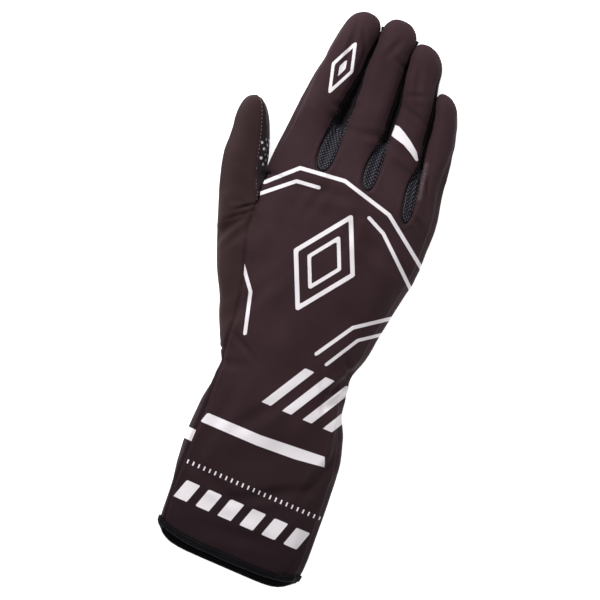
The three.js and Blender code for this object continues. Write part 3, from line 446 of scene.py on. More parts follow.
def knuckle_keys(depth):
    """Left side 2, back 4 x STEPS + 1 with a tongue of 4 after each finger but the last, right 2, sole 11."""
    down = depth / WEB_DEPTH
    y = ROOT_Y - depth
    outer, right = KNUCKLE("left", down) * ROOT_WIDTH, BODY("right", y)
    side, top = BODY("side", y) * HAND_HEIGHT, BODY("top", y) * HAND_HEIGHT
    low, lobe = KNUCKLE("low", down) * HAND_HEIGHT, KNUCKLE("lobe", down)
    drop = KNUCKLE("skew", down) * LITTLE_ROOT_DROP
    root, root_low = finger_edges(ROOT_Y), finger_edges(ROOT_Y - LITTLE_ROOT_DROP)
    back_end = right - SIDE_ROLL
    tongues = []
    for k, g in enumerate(GAPS):
        along = clamp(1 - depth / TONGUE_ENDS[k])
        edges = root_low if k == 2 else root
        crotch = (edges[1][k] + edges[0][k + 1]) / 2
        centre = mix(mix(outer, back_end, g["end"]), crotch, along)
        wide = max(TONGUE("full", along) * g["tongue"] + TONGUE("root", along) * g["gap"], 0)
        tongues.append((centre, centre - wide / 2, centre + wide / 2, TONGUE("depth", along), along))
    starts = [outer + SIDE_ROLL] + [t[2] for t in tongues]
    stops = [t[1] for t in tongues] + [back_end]

    def height(i, t):
        x = mix(starts[i], stops[i], t)
        u = (2 * x - outer - right) / (right - outer)
        smooth = side + (top - side) * dome(u, DOME_POWER) - fold_depth(x, y)
        high, seam = (FINGER(n, 0) * FINGERS[i]["height"] for n in ("top", "upper"))
        arch = seam + (high - seam) * dome(2 * t - 1, ARCH_POWER)
        return [x, y - drop * (0 if i < 2 else t if i == 2 else 1), mix(smooth, arch, lobe)]

    keys = [[outer + SEAM_INSET, y, low], [outer, y, side]]
    for i in range(4):
        keys += [height(i, t) for t in (ARCH if i == 0 else ARCH[1:])]
        if i == 3:
            break
        a, b = height(i, 1), height(i + 1, 0)
        centre, _, _, deep, along = tongues[i]
        if along == 0:
            keys += [a, a, a, a]
            continue
        bottom = [centre, (a[1] + b[1]) / 2,
                  mix((a[2] + b[2]) / 2, FINGER("lower", 0) * FINGERS[i]["height"], deep)]
        walls = [[mix(p[0], centre, TROUGH_LEAN), p[1], mix(p[2], bottom[2], TROUGH_FOLD)] for p in (a, b)]
        keys += [walls[0], bottom, walls[1], b]
    keys += [[right, y - drop, side], [right - SEAM_INSET, y - drop, low]]
    sole = [outer] + [t[0] for t in tongues] + [right]
    for i in (3, 2, 1, 0):
        edge = (sole[i + 1] - sole[i]) * SOLE_EDGE
        right_drop, left_drop = (drop if i >= 2 else 0), (drop if i == 3 else 0)
        keys += [[sole[i + 1] - edge, y - mix(left_drop, right_drop, 1 - SOLE_DROP), 0],
                 [sole[i] + edge, y - mix(left_drop, right_drop, SOLE_DROP), 0]]
        if i:
            crotch = FINGER("lower", 0) * FINGERS[i - 1]["height"]
            keys.append([sole[i], y - left_drop, KNUCKLE("web", down) * crotch])
    return np.array(keys)


def thumb_keys(up):
    """Back 5, inner side 1, sole 2."""
    web = BALL_ROWS[0][1] * ROOT_WIDTH
    left, right = web + THUMB("left", up) * THUMB_WIDTH, web + THUMB("right", up) * THUMB_WIDTH
    swell = THUMB("swell", up)
    y = WEB_Y + up * THUMB_LENGTH
    side, rise = THUMB_SIDE * HAND_HEIGHT, THUMB_RISE * HAND_HEIGHT * swell
    low, under = side * (1 - swell), LOW_SIDE * HAND_HEIGHT

    def at(angle):
        return [mix(left, right, (1 - math.cos(angle)) / 2), y, side + rise * math.sin(angle)]

    mark = math.radians(THUMB_SEAM_TURN)
    return np.array([[mix(left, right, THUMB_LOW_INSET), y, mix(side, under, swell)],
                     [mix(left, right, THUMB_SIDE_INSET), y, mix(side, under, swell / 2)],
                     at(0), at(mark / 2), at(mark), at(math.pi),
                     [mix(left, right, SOLE_INNER), y, low], [mix(left, right, SOLE_OUTER), y, low]])


def refine(keys, counts):
    """Smooth closed line through the keys, with that many points from each key to the next."""
    n = len(keys)
    out = []
    for k in range(n):
        p1, p2 = keys[k], keys[(k + 1) % n]
        if np.allclose(p1, p2):
            out += [p1] * counts[k]
            continue
        p0, p3 = keys[k - 1], keys[(k + 2) % n]
        if np.allclose(p0, p1):
            p0 = 2 * p1 - p2
        if np.allclose(p3, p2):
            p3 = 2 * p2 - p1
        a, b, c = (max(float(np.linalg.norm(q - p)), TINY) for p, q in ((p0, p1), (p1, p2), (p2, p3)))
        t = (np.arange(counts[k]) / counts[k])[:, None]
        out += list(hermite(t, p1, (p2 - p0) / (a + b) * b, p2, (p3 - p1) / (b + c) * b))
    return np.array(out)


# Points from each key to the next
FINE = 4
WALL_N = 6
SOLE_N = 3
EDGE_N = 5
ARCH_COUNTS = [FINE] * STEPS
PER_FINGER = FINE * STEPS
TONGUE_COUNTS = [WALL_N] * 4
THUMB_BACK_COUNTS = [4, 4, 6, 6, 8]
RIGHT_AND_SOLE = [EDGE_N] * 2 + [SOLE_N] * 12
COUNTS_LOWER = THUMB_BACK_COUNTS + ARCH_COUNTS * 4 + RIGHT_AND_SOLE + [5, 5, 5]
COUNTS_KNUCKLE = [EDGE_N] * 2 + (ARCH_COUNTS + TONGUE_COUNTS) * 3 + ARCH_COUNTS + RIGHT_AND_SOLE
COUNTS_THUMB = THUMB_BACK_COUNTS + [5, 5, 5]


def finger_counts(i):
    left = EDGE_N if i == 0 else WALL_N
    right = EDGE_N if i == 3 else WALL_N
    return [left] * 2 + ARCH_COUNTS + [right] * 2 + [SOLE_N] * 3


points = []
across_mm = []
faces = []
labels = []


def add_ring(ring, middle=0, offset=0.0):
    """Adds a closed row of points, with their distance across the cloth from its middle one."""
    start = len(points)
    points.extend(ring)
    ring = np.asarray(ring)
    steps = np.linalg.norm(np.diff(np.vstack([ring, ring[:1]]), axis=0), axis=1)
    arc = np.concatenate([[0], np.cumsum(steps)])
    place = arc[:-1] - arc[middle] if len(ring) > 1 else np.zeros(1)
    place = np.where(place > arc[-1] / 2, place - arc[-1], place)
    across_mm.extend(place + offset)
    return list(range(start, start + len(ring)))


def add_band(low, high, names):
    n = len(low)
    for k in range(n):
        quad = [low[k]]
        for q in (low[(k + 1) % n], high[(k + 1) % n], high[k]):
            if q != quad[-1] and q != quad[0]:
                quad.append(q)
        if len(quad) >= 3:
            faces.append(quad)
            labels.append(names[k])


def spread(counts, names):
    return [n for c, n in zip(counts, names) for _ in range(c)]


FOURCHETTES = ["fourchette_index_middle", "fourchette_middle_ring", "fourchette_ring_little"]
BACK = ["back_panel"]
PALM = ["palm_panel"]
THUMB_SOLE = ["thumb_front"] * 3
cuff_names = spread(COUNTS_LOWER, ["cuff_under"] * 5 + BACK * 34 + ["cuff_under"] * 15)
ball_names = spread(COUNTS_LOWER, ["thumb_back"] * 5 + BACK * 34 + PALM * 12 + THUMB_SOLE)
web_names = spread(COUNTS_LOWER, ["thumb_back"] * 4 + ["thumb_front"] + BACK * 34 + PALM * 12 + THUMB_SOLE)
tongue_names = [n for f in FOURCHETTES for n in BACK * STEPS + [f] * 4]
knuckle_names = spread(COUNTS_KNUCKLE, BACK * 2 + tongue_names + BACK * (STEPS + 2) + PALM * 12)
thumb_names = spread(COUNTS_THUMB, ["thumb_back"] * 4 + ["thumb_front"] * 4)


def finger_names(i):
    left = "back_panel" if i == 0 else FOURCHETTES[i - 1]
    right = "back_panel" if i == 3 else FOURCHETTES[i]
    return spread(finger_counts(i), [left] * 2 + BACK * STEPS + [right] * 2 + PALM * 3)


SPACING = 1.05
WEB_STEPS = 14
MEETING_Y = WEB_Y * (1 - BALL_ROWS[3][0])
BALL_START = sum(COUNTS_LOWER[:5])
BALL_AT = sum(COUNTS_LOWER[:51])
FINGER_MIDDLES = [sum(finger_counts(i)[:6]) for i in range(4)]
FINGER_OFFSETS = [-33.0, -12.0, 12.0, 32.0]
FINGER_SPACING = 0.95


def lower_skin():
    """Rows from the web of the thumb down to the hem."""
    ys = list(np.linspace(WEB_Y, MEETING_Y, WEB_STEPS + 1))
    ys += list(np.linspace(MEETING_Y, 0, int(MEETING_Y / SPACING)))[1:]
    split = len(ys) - 1
    ys += list(np.linspace(0, -HEM_END, int(HEM_END / SPACING)))[1:]
    rings = [add_ring(lower_ring(y), BALL_START + 2 * PER_FINGER) for y in ys]
    # The web: the left seam, the ball seam and the inner side of the thumb share a point
    rings[0][BALL_AT] = rings[0][BALL_START]
    for j in range(1, len(rings)):
        names = web_names if j <= WEB_STEPS else ball_names if j <= split else cuff_names
        add_band(rings[j], rings[j - 1], names)
    return rings


def finger_marks(i):
    """Places in a finger's row: start of the left wall, arch, right wall and sole, and the end."""
    c = np.cumsum([0] + finger_counts(i)).tolist()
    return c[0], c[2], c[2 + STEPS], c[4 + STEPS], c[7 + STEPS]


def root_row(rings):
    """The row round all four finger roots, from the roots of the single fingers."""
    marks = [finger_marks(i) for i in range(4)]
    # Crotch points are shared by neighbouring fingers
    for i in range(3):
        rings[i + 1][0] = rings[i][marks[i][3]]
    root = list(rings[0][:marks[0][1]])
    for i in range(4):
        root += rings[i][marks[i][1]:marks[i][3]]
        if i < 3:
            root += rings[i + 1][:marks[i + 1][1]]
    for i in (3, 2, 1, 0):
        root += rings[i][marks[i][3]:marks[i][4]]
    return root


def knuckle_skin(web, root):
    """Rows from the finger roots down to the web; a closed tongue is one point."""
    start = [web[BALL_START]] * (2 * EDGE_N)
    for i in range(4):
        base = BALL_START + i * PER_FINGER
        start += web[base:base + PER_FINGER]
        if i < 3:
            start += [web[base + PER_FINGER]] * (WALL_N * 4)
    start += web[BALL_START + 4 * PER_FINGER:BALL_AT]
    marks = [0, 4, TONGUE_LENGTH - 2, TONGUE_LENGTH, TONGUE_ENDS[2], WEB_DEPTH]
    depths = np.concatenate([np.linspace(a, b, n)[1:] for a, b, n in zip(marks, marks[1:], (7, 22, 5, 9, 5))])
    knuckles = [root]
    for depth in depths[:-1]:
        ring = add_ring(refine(knuckle_keys(depth), COUNTS_KNUCKLE), 2 * EDGE_N + 2 * PER_FINGER + 6 * WALL_N)
        for i, end in enumerate(TONGUE_ENDS):
            if depth >= end - TINY:
                first = 2 * EDGE_N + (i + 1) * PER_FINGER + i * WALL_N * 4
                last = first + WALL_N * 4
                ring[first:last] = [ring[last]] * (WALL_N * 4)
        knuckles.append(ring)
    knuckles.append(start)
    for j in range(1, len(knuckles)):
        add_band(knuckles[j], knuckles[j - 1], knuckle_names)


def finger_skin(i, root):
    marks, names = finger_marks(i), finger_names(i)
    shares = list(np.linspace(0, CAP_START, int(FINGERS[i]["length"] * CAP_START / FINGER_SPACING)))[1:]
    angles = np.linspace(0, math.pi / 2, 15)[1:-1]
    shares += [CAP_START + (1 - CAP_START) * math.sin(a) for a in angles]
    previous = root
    for share in shares:
        keys = finger_keys(i, share)
        ring = add_ring(refine(keys, finger_counts(i)), FINGER_MIDDLES[i], FINGER_OFFSETS[i])
        if share >= SIDE_CLOSED:
            for low, high in (marks[0:2], marks[2:4]):
                ring[low:high + 1] = [ring[(low + high) // 2]] * (high + 1 - low)
        add_band(previous, ring, names)
        previous = ring
    pole = add_ring([finger_keys(i, 1.0)[6]], 0, FINGER_OFFSETS[i])
    add_band(previous, pole * len(previous), names)


def thumb_skin(web):
    previous = web[:BALL_START + 1] + web[BALL_AT + 1:]
    for up in list(np.linspace(0, 0.9, 32))[1:] + [0.925, 0.945, 0.962, 0.975, 0.985, 0.993]:
        ring = add_ring(refine(thumb_keys(up), COUNTS_THUMB))
        add_band(previous, ring, thumb_names)
        previous = ring
    tip_x = BALL_ROWS[0][1] * ROOT_WIDTH + THUMB_TIP * THUMB_WIDTH
    pole = add_ring([np.array([tip_x, WEB_Y + THUMB_LENGTH, THUMB_SIDE * HAND_HEIGHT])])
    add_band(previous, pole * len(previous), thumb_names)


def build_skin():
    rings = lower_skin()
    roots = [add_ring(refine(finger_keys(i, 0), finger_counts(i)), FINGER_MIDDLES[i], FINGER_OFFSETS[i])
             for i in range(4)]
    knuckle_skin(rings[0], root_row(roots))
    for i in range(4):
        finger_skin(i, roots[i])
    thumb_skin(rings[0])
    return rings


# Skin in the glove's frame, with its panels kept apart by their labels
lower_rings = build_skin()
hem = lower_rings[-1]
P = np.array(points) + np.array([SHIFT_X, SHIFT_Y, 0.0])
U = np.array(across_mm)
quads = np.array([f + [f[-1]] * (4 - len(f)) for f in faces])
labels = np.array(labels)


def unit(rows):
    return rows / np.maximum(np.linalg.norm(rows, axis=1, keepdims=True), 1e-9)


def corner_normals(points_, quads_):
    a, b, c, d = (points_[quads_[:, k]] for k in range(4))
    n = np.cross(c - a, d - b)
    tri = quads_[:, 2] == quads_[:, 3]
    n[tri] = np.cross(b[tri] - a[tri], c[tri] - a[tri])
    out = np.zeros_like(points_)
    for k in range(4):
        use = ~tri if k == 3 else slice(None)
        np.add.at(out, quads_[use, k], n[use])
    return unit(out)


N = corner_normals(P, quads)

# Seams: edges between two panels
edge_face = {}
seams = {}
for f, quad in enumerate(quads.tolist()):
    ring = quad[:3] if quad[3] == quad[2] else quad
    for a, b in zip(ring, ring[1:] + ring[:1]):
        other = edge_face.pop((b, a), None)
        if other is None:
            edge_face[(a, b)] = f
        elif labels[other] != labels[f]:
            pair = tuple(sorted((labels[other], labels[f])))
            seams.setdefault(pair, []).append((a, b))


def tree_of(spots):
    tree = KDTree(len(spots))
    for i, spot in enumerate(spots):
        tree.insert(Vector(spot), i)
    tree.balance()
    return tree


def distance_to(pairs):
    tree = tree_of([spot for pair in pairs for a, b in seams[pair] for spot in (P[a], (P[a] + P[b]) / 2)])
    return np.array([tree.find(Vector(p))[2] for p in P])


mesh_pairs = [p for p in seams if any(n in FOURCHETTES for n in p)]
far_seam = distance_to(seams)
far_mesh = distance_to(mesh_pairs)


def bell(x, width):
    return np.exp(-(x / width) ** 2)


def ramp(x):
    return np.clip(x, 0, 1)


# The cloth runs on softly over the finger roots and over the wrist
pairs_of_points = np.vstack([quads[:, [0, 1]], quads[:, [1, 2]], quads[:, [2, 3]], quads[:, [3, 0]]])
pairs_of_points = pairs_of_points[pairs_of_points[:, 0] != pairs_of_points[:, 1]]
ends, others = pairs_of_points.T
neighbours = np.bincount(ends, minlength=len(P))
root_line = ROOT_Y + SHIFT_Y - ramp((P[:, 0] - 24) / 10) * LITTLE_ROOT_DROP
soft = bell(P[:, 1] - root_line, 4.5) + bell(P[:, 1] - SHIFT_Y, 5.0)
soft = ramp(soft + 0.6 * bell(N[:, 2] - 0.55, 0.3)) * ramp((far_seam - 0.8) / 1.5) * ramp(N[:, 2] * 3)
for _ in range(SOFT_ROUNDS):
    around = np.bincount(ends, P[others, 2], len(P)) / np.maximum(neighbours, 1)
    P[:, 2] += soft * np.where(neighbours > 0, around - P[:, 2], 0) * SOFT_STEP


def noise_at(x_size, y_size, z_size, shift=(0, 0, 0)):
    """Smooth noise at every point, with its grain in millimetres."""
    size = np.array([x_size, y_size, z_size])
    return np.array([noise.noise(Vector(p) + Vector(shift)) for p in P / size])


# Relief: seams draw in, cloth swells beside them, wrinkles and slow waves
ripple = noise_at(3.2, 3.2, 3.2)
wave = noise_at(17.0, 17.0, 17.0, (3, 7, 1))
slow = noise_at(14.0, 34.0, np.inf, (0, 0, 5))
relief = -0.55 * bell(far_seam, 0.75) + 0.3 * bell(far_seam - 1.9, 1.0) + 0.3 * ripple * bell(far_seam, 4.0)
relief *= ramp((P[:, 2] - 6.0) / 3.0)
on_top = ramp(N[:, 2] * 2 + 0.3)
relief += (0.6 * wave + 1.0 * slow) * on_top
for wx, wy, turn, long, wide, depth in WRINKLES:
    a, b = turned(P[:, 0] - wx - SHIFT_X, P[:, 1] - wy - SHIFT_Y, turn)
    ridge = bell(a, long) * (bell(b, wide) - 0.45 * bell(np.abs(b / wide) - 1.7, 0.8))
    relief -= WRINKLE_GAIN * depth * ridge * on_top
relief[hem] = 0
relief = np.where(N[:, 2] < FACES_DOWN, np.minimum(relief, 0) * 0.4, relief)
P = P + N * relief[:, None]
P[:, 2] = np.maximum(P[:, 2], 0.02)
N = corner_normals(P, quads)


# Print, as signed distances in millimetres from drawn shapes in the plan


def edge_distance(a, b):
    ab = b - a
    t = np.clip(((P[:, :2] - a) @ ab) / (ab @ ab), 0, 1)
    return np.linalg.norm(P[:, :2] - (a + t[:, None] * ab), axis=1)


def polygon(corners):
    corners = np.array(corners, float)
    best = np.full(len(P), FAR)
    inside = np.zeros(len(P), bool)
    for a, b in zip(corners, np.roll(corners, -1, axis=0)):
        best = np.minimum(best, edge_distance(a, b))
        cross = (a[1] > P[:, 1]) != (b[1] > P[:, 1])
        with np.errstate(divide="ignore", invalid="ignore"):
            x = (b[0] - a[0]) * (P[:, 1] - a[1]) / (b[1] - a[1]) + a[0]
        inside ^= cross & (P[:, 0] < x)
    return np.where(inside, -best, best)


def line(corners, width, closed=False):
    corners = np.array(corners, float)
    pairs = zip(corners, np.roll(corners, -1, axis=0)) if closed else zip(corners[:-1], corners[1:])
    return np.min([edge_distance(a, b) for a, b in pairs], axis=0) - width / 2


def rhomb(x, y, half_wide, half_long, lean):
    return [(x + lean * half_long, y + half_long), (x + half_wide, y),
            (x - lean * half_long, y - half_long), (x - half_wide, y)]


def slab(x, y, wide, high, lean):
    return [(x, y), (x + wide, y), (x + wide + lean * high, y + high), (x + lean * high, y + high)]


def strip(left, right, low, high):
    return [(left, low), (right, low), (right, high), (left, high)]


RING_BAND = [(12.0, 97.2), (16.6, 97.2), (19.8, 95.7), (25.0, 92.6), (30.2, 88.7), (32.6, 85.0),
             (31.7, 84.2), (27.6, 86.8), (22.4, 89.4), (17.2, 90.7), (12.0, 92.0)]
CUFF_BAR = [(-15.4, -78.3), (14.6, -78.0), (49.4, -75.1), (51.5, -80.1), (35.4, -82.4), (14.6, -83.7),
            (-17.0, -83.9)]
OPEN_LINES = [
    ([(-36, 43), (-22, 57), (2, 60), (30, 53), (57, 34)], 2.0),
    ([(-36.5, 36), (-21, 50), (-9, 51.5)], 1.9),
    ([(21, 47.5), (31, 43), (57, 21)], 1.9),
    ([(-33, 4), (-20, -12), (-14, -33)], 1.9),
    ([(56, 7), (36, -8), (24, -28)], 1.9),
    ([(57, -1), (41, -13), (31, -31)], 1.7),
]
shapes = [polygon(RING_BAND), polygon(CUFF_BAR)]
shapes += [line(rhomb(9, 17, 16, 27, 0.12), 2.3, True), line(rhomb(9, 17, 8.5, 14.5, 0.12), 1.9, True)]
shapes += [line(corners, width) for corners, width in OPEN_LINES]
shapes.append(line(rhomb(-22.6, 113.5, 5.2, 14.0, 0.08), 1.6, True))
shapes.append(polygon(rhomb(-22.6, 113.5, 1.7, 5.2, 0.08)))
shapes += [polygon(slab(8 + k * 11.5, -62, 5.2, high, 0.55)) for k, high in enumerate((25, 25, 25, 16))]
shapes += [polygon(slab(-14.5 + k * 12.4, -125.0, 7.6, 10.5, 0.3)) for k in range(6)]
printed = np.minimum(np.min(shapes, axis=0), FAR)
stripe = polygon(strip(-40, 80, -95.2, -88.9))
ticks = polygon(strip(-15.5, 60, -106.6, -104.4))
on_back = N[:, 2] > -0.2
# A pale, powdery patch beside the third tongue: partly a scuff on the cloth, partly a painted highlight on
# its ridge
scuff_and_highlight = bell(np.maximum(line([(37.4, 84.5), (38.8, 77.5), (40.6, 67.5)], 0.0), 0), 1.3)


def linear(r, g, b):
    """Colour for a shader, from one with channels of 0 to 255."""
    return *(c / 255 / 12.92 if c <= 10.3 else ((c / 255 + 0.055) / 1.055) ** 2.4 for c in (r, g, b)), 1


class Shade:
    """A material in the making, with short calls for the nodes that it needs."""

    def __init__(self, name, roughness, sheen=0.0, specular=0.12):
        self.material = bpy.data.materials.new(name)
        self.material.use_nodes = True
        self.nodes, self.links = self.material.node_tree.nodes, self.material.node_tree.links
        self.shader = self.nodes["Principled BSDF"]
        self.set("Roughness", roughness)
        self.set("Sheen Weight", sheen)
        self.set("Specular IOR Level", specular)
        self.set("Sheen Roughness", 0.45)
        self.set("Sheen Tint", (0.75, 0.6, 0.62, 1))

    def set(self, name, value):
        self.feed(self.shader.inputs[name], value)

    def feed(self, socket, value):
        if isinstance(value, (tuple, int, float)):
            socket.default_value = value
        else:
            self.links.new(value, socket)

    def calc(self, kind, *values, limit=False):
        node = self.nodes.new("ShaderNodeMath")
        node.operation = kind
        node.use_clamp = limit
        for socket, value in zip(node.inputs, values):
            self.feed(socket, value)
        return node.outputs[0]

    def attribute(self, name):
        node = self.nodes.new("ShaderNodeAttribute")
        node.attribute_name = name
        return node.outputs["Fac"]

    def wave(self, name, pitch):
        return self.calc("SINE", self.calc("MULTIPLY", self.attribute(name), 2 * math.pi / pitch))

    def loops(self, pitch):
        """Small rows of loops: a product of two waves over the cloth's own millimetres."""
        return self.calc("MULTIPLY", self.wave("across", pitch), self.wave("along", pitch))

    def cloud(self, scale, detail):
        node = self.nodes.new("ShaderNodeTexNoise")
        node.inputs["Scale"].default_value = scale
        node.inputs["Detail"].default_value = detail
        self.links.new(self.nodes.new("ShaderNodeTexCoord").outputs["Object"], node.inputs["Vector"])
        return node.outputs["Fac"]

    def blend(self, share, low, high):
        node = self.nodes.new("ShaderNodeMix")
        node.data_type = "RGBA"
        for k, value in ((0, share), (6, low), (7, high)):
            self.feed(node.inputs[k], value)
        return node.outputs[2]

    def bump(self, height, distance, strength):
        node = self.nodes.new("ShaderNodeBump")
        node.inputs["Distance"].default_value = distance
        node.inputs["Strength"].default_value = strength
        self.links.new(height, node.inputs["Height"])
        self.links.new(node.outputs["Normal"], self.shader.inputs["Normal"])


def knit(name, dark, light, with_print=True):
    shade = Shade(name, 0.8, 0.04)
    cloud = shade.cloud(60.0, 3.0)
    loops = shade.loops(KNIT_PITCH)
    tone = shade.calc("ADD", cloud, shade.calc("MULTIPLY", loops, 0.12), limit=True)
    base = shade.blend(tone, linear(*dark), linear(*light))
    # Painted highlight: a pale, speckled patch beside the third tongue, partly a scuff on the cloth
    scuff_highlight_share = shade.calc("MULTIPLY", shade.calc("POWER", shade.cloud(900.0, 2.0), 2.0), 1.5, limit=True)
    scuff_highlight_share = shade.calc("MULTIPLY", scuff_highlight_share, shade.attribute("scuff_and_highlight"))
    base = shade.blend(scuff_highlight_share, base, linear(104, 91, 93))
    # The cloth gets deeper in tone towards the hem
    share = shade.calc("DIVIDE", shade.calc("ADD", shade.attribute("along"), 135.0), 95.0, limit=True)
    base = shade.blend(share, linear(34, 21, 25), base)
    if with_print:
        share = shade.calc("ADD", shade.calc("MULTIPLY", shade.attribute("print"), -5.0), 0.5, limit=True)
        # A row of fine upright ticks
        row = shade.calc("LESS_THAN", shade.attribute("ticks"), 0.0)
        comb = shade.calc("GREATER_THAN", shade.wave("plan", TICK_PITCH), 0.72)
        share = shade.calc("MAXIMUM", share, shade.calc("MULTIPLY", row, comb))
        base = shade.blend(share, base, shade.blend(cloud, linear(216, 209, 214), linear(240, 235, 238)))
    shade.set("Base Color", base)
    shade.bump(loops, 0.00006, 0.6)
    return shade.material


def mesh_cloth(name):
    shade = Shade(name, 0.6, 0.1)
    dots = shade.calc("MULTIPLY", shade.calc("SUBTRACT", shade.loops(MESH_PITCH), 0.3), 2.4, limit=True)
    # Painted shade: the pale dots fade where the open share is low, by the seams, on steep sides and between
    # the fingers
    dots = shade.calc("MULTIPLY", dots, shade.attribute("open"))
    shade.set("Base Color", shade.blend(dots, linear(14, 12, 16), linear(80, 82, 97)))
    shade.bump(dots, 0.0003, 0.8)
    return shade.material


def grip_cloth(name, pitch):
    shade = Shade(name, 0.75, 0.15)
    dots = shade.calc("GREATER_THAN", shade.loops(pitch), 0.55)
    dots = shade.calc("MULTIPLY", dots, shade.calc("GREATER_THAN", shade.attribute("grip"), 0.5))
    base = shade.blend(shade.loops(KNIT_PITCH), linear(28, 24, 27), linear(38, 32, 35))
    shade.set("Base Color", shade.blend(dots, base, linear(182, 184, 188)))
    shade.set("Roughness", shade.calc("SUBTRACT", 0.8, shade.calc("MULTIPLY", dots, 0.4)))
    shade.bump(dots, 0.0003, 0.7)
    return shade.material


def tape_cloth(name):
    shade = Shade(name, 0.7, 0.0, 0.06)
    ribs = shade.wave("across", TAPE_PITCH)
    share = shade.calc("MULTIPLY_ADD", ribs, 0.5, 0.5)
    shade.set("Base Color", shade.blend(share, linear(9, 8, 11), linear(19, 17, 22)))
    shade.bump(ribs, 0.00012, 0.8)
    return shade.material


def thread_material(name, colour):
    shade = Shade(name, 0.55)
    dim = linear(*(c * 0.7 for c in colour))
    shade.set("Base Color", shade.blend(shade.cloud(900.0, 1.0), dim, linear(*colour)))
    return shade.material


# Each panel's material and the name of its slot
net = mesh_cloth("mesh_cloth")
LOOKS = {
    "back_panel": (knit("back_knit", (43, 27, 31), (57, 39, 43)), "back_knit"),
    "thumb_back": (knit("thumb_knit", (42, 27, 29), (54, 37, 38), False), "thumb_knit"),
    "cuff_under": (knit("cuff_knit", (38, 25, 28), (50, 35, 38)), "cuff_knit"),
    "palm_panel": (grip_cloth("palm_cloth", 7.0), "palm_cloth"),
    "thumb_front": (grip_cloth("grip_cloth", 5.0), "grip_cloth"),
}
LOOKS.update({name: (net, "mesh") for name in FOURCHETTES})


def add_object(name, data):
    obj = bpy.data.objects.new(name, data)
    bpy.context.scene.collection.objects.link(obj)
    return obj


def make_object(name, coords, polygons, values, material, normals=None):
    mesh = bpy.data.meshes.new(name)
    mesh.from_pydata((coords / 1000).tolist(), [], polygons)
    for key, data in values.items():
        mesh.attributes.new(key, "FLOAT", "POINT").data.foreach_set("value", np.asarray(data, np.float32))
    mesh.polygons.foreach_set("use_smooth", [True] * len(mesh.polygons))
    mesh.update()
    if normals is not None:
        mesh.normals_split_custom_set_from_vertices(normals.tolist())
    mesh.materials.append(material)
    return add_object(name, mesh)


def place_on(obj, node):
    """The piece takes the place of a node of the part."""
    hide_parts(node)
    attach(obj, "root")
    return obj


def rim_edges(polygons):
    """Edges of only one polygon."""
    border = {}
    for q in polygons:
        for a, b in zip(q, q[1:] + q[:1]):
            if (b, a) in border:
                del border[(b, a)]
            else:
                border[(a, b)] = True
    return list(border)


def cloth_values(name, pick):
    """What the materials read at each point: distances in millimetres and shares from 0 to 1."""
    up, y = N[pick, 2], P[pick, 1]
    nothing, blank = np.zeros(len(pick)), np.full(len(pick), FAR)
    on_top_of_back = name == "back_panel"
    # Grip dots: on all that faces down on the palm, and round the inner side of the thumb
    grip = up < FACES_DOWN if name == "palm_panel" else (P[pick, 2] < 3.5) | ((y > 50) & (y < 64))
    # Painted light and shade on the mesh: its holes show as pale dots where it faces up, away from its seams
    # and below the finger roots, and fade as painted shade elsewhere
    lit = ramp((far_mesh[pick] - 0.7) / 0.9) * np.clip((np.abs(up) - 0.15) / 0.5, 0.15, 1)
    return {
        "across": P[pick, 0] if name in ("palm_panel", "cuff_under") else U[pick],
        "along": y,
        "plan": P[pick, 0],
        "grip": grip.astype(float),
        "print": np.where(on_back[pick], printed[pick], FAR) if on_top_of_back else stripe[pick],
        # Painted highlight beside the third tongue, on the back panel only
        "scuff_and_highlight": scuff_and_highlight[pick] if on_top_of_back else nothing,
        "open": lit * np.clip((root_line[pick] - y) / 2.5, 0.08, 1),
        "ticks": np.where(on_back[pick], ticks[pick], FAR) if on_top_of_back else blank,
    }


def panel(name):
    """Outer and inner wall of a piece of cloth, with a rim round its edge."""
    chosen = quads[labels == name]
    used = np.unique(chosen)
    index = np.full(len(P), -1)
    index[used] = np.arange(len(used))
    m = len(used)
    outer, normal = P[used], N[used]
    inner = outer - normal * WALL
    inner[:, 2] = np.maximum(inner[:, 2], 0.05)
    triangles = chosen[:, 2] == chosen[:, 3]
    polygons = [q[:3] if t else q for q, t in zip(index[chosen].tolist(), triangles)]
    inside = [[v + m for v in q[::-1]] for q in polygons]
    border = rim_edges(polygons)
    rim_points = sorted({v for edge in border for v in edge})
    rim_index = {v: 2 * m + i for i, v in enumerate(rim_points)}
    r = len(rim_points)
    rim = [[rim_index[b], rim_index[a], rim_index[a] + r, rim_index[b] + r] for a, b in border]
    side = np.zeros((r, 3))
    for a, b in border:
        for v in (a, b):
            side[rim_index[v] - 2 * m] += np.cross(outer[b] - outer[a], normal[a])
    side = unit(side)
    coords = np.vstack([outer, inner, outer[rim_points], inner[rim_points]])
    normals = np.vstack([normal, -normal, side, side])
    pick = np.concatenate([used, used, used[rim_points], used[rim_points]])
    material, slot_name = LOOKS[name]
    values = cloth_values(name, pick)
    obj = make_object(name + "_cloth", coords, polygons + inside + rim, values, material, normals)
    return place_on(obj, name)


def chain(pairs, keep):
    """Ordered runs of seam points."""
    joined = {}
    for pair in pairs:
        for a, b in seams[pair]:
            if keep(P[a]) and keep(P[b]):
                joined.setdefault(a, []).append(b)
                joined.setdefault(b, []).append(a)
    runs, seen = [], set()
    for start in [v for v, n in joined.items() if len(n) != 2] + list(joined):
        if start in seen:
            continue
        run = [start]
        seen.add(start)
        while True:
            ahead = [v for v in joined[run[-1]] if v not in seen]
            if not ahead:
                break
            seen.add(ahead[0])
            run.append(ahead[0])
        if len(run) > 3:
            runs.append(run)
    return runs


def softened(rows, rounds, closed):
    """Rows of points, each drawn towards its neighbours."""
    for _ in range(rounds):
        drawn = (np.roll(rows, 1, axis=0) + 2 * rows + np.roll(rows, -1, axis=0)) / 4
        if not closed:
            drawn[[0, -1]] = rows[[0, -1]]
        rows = drawn
    return rows


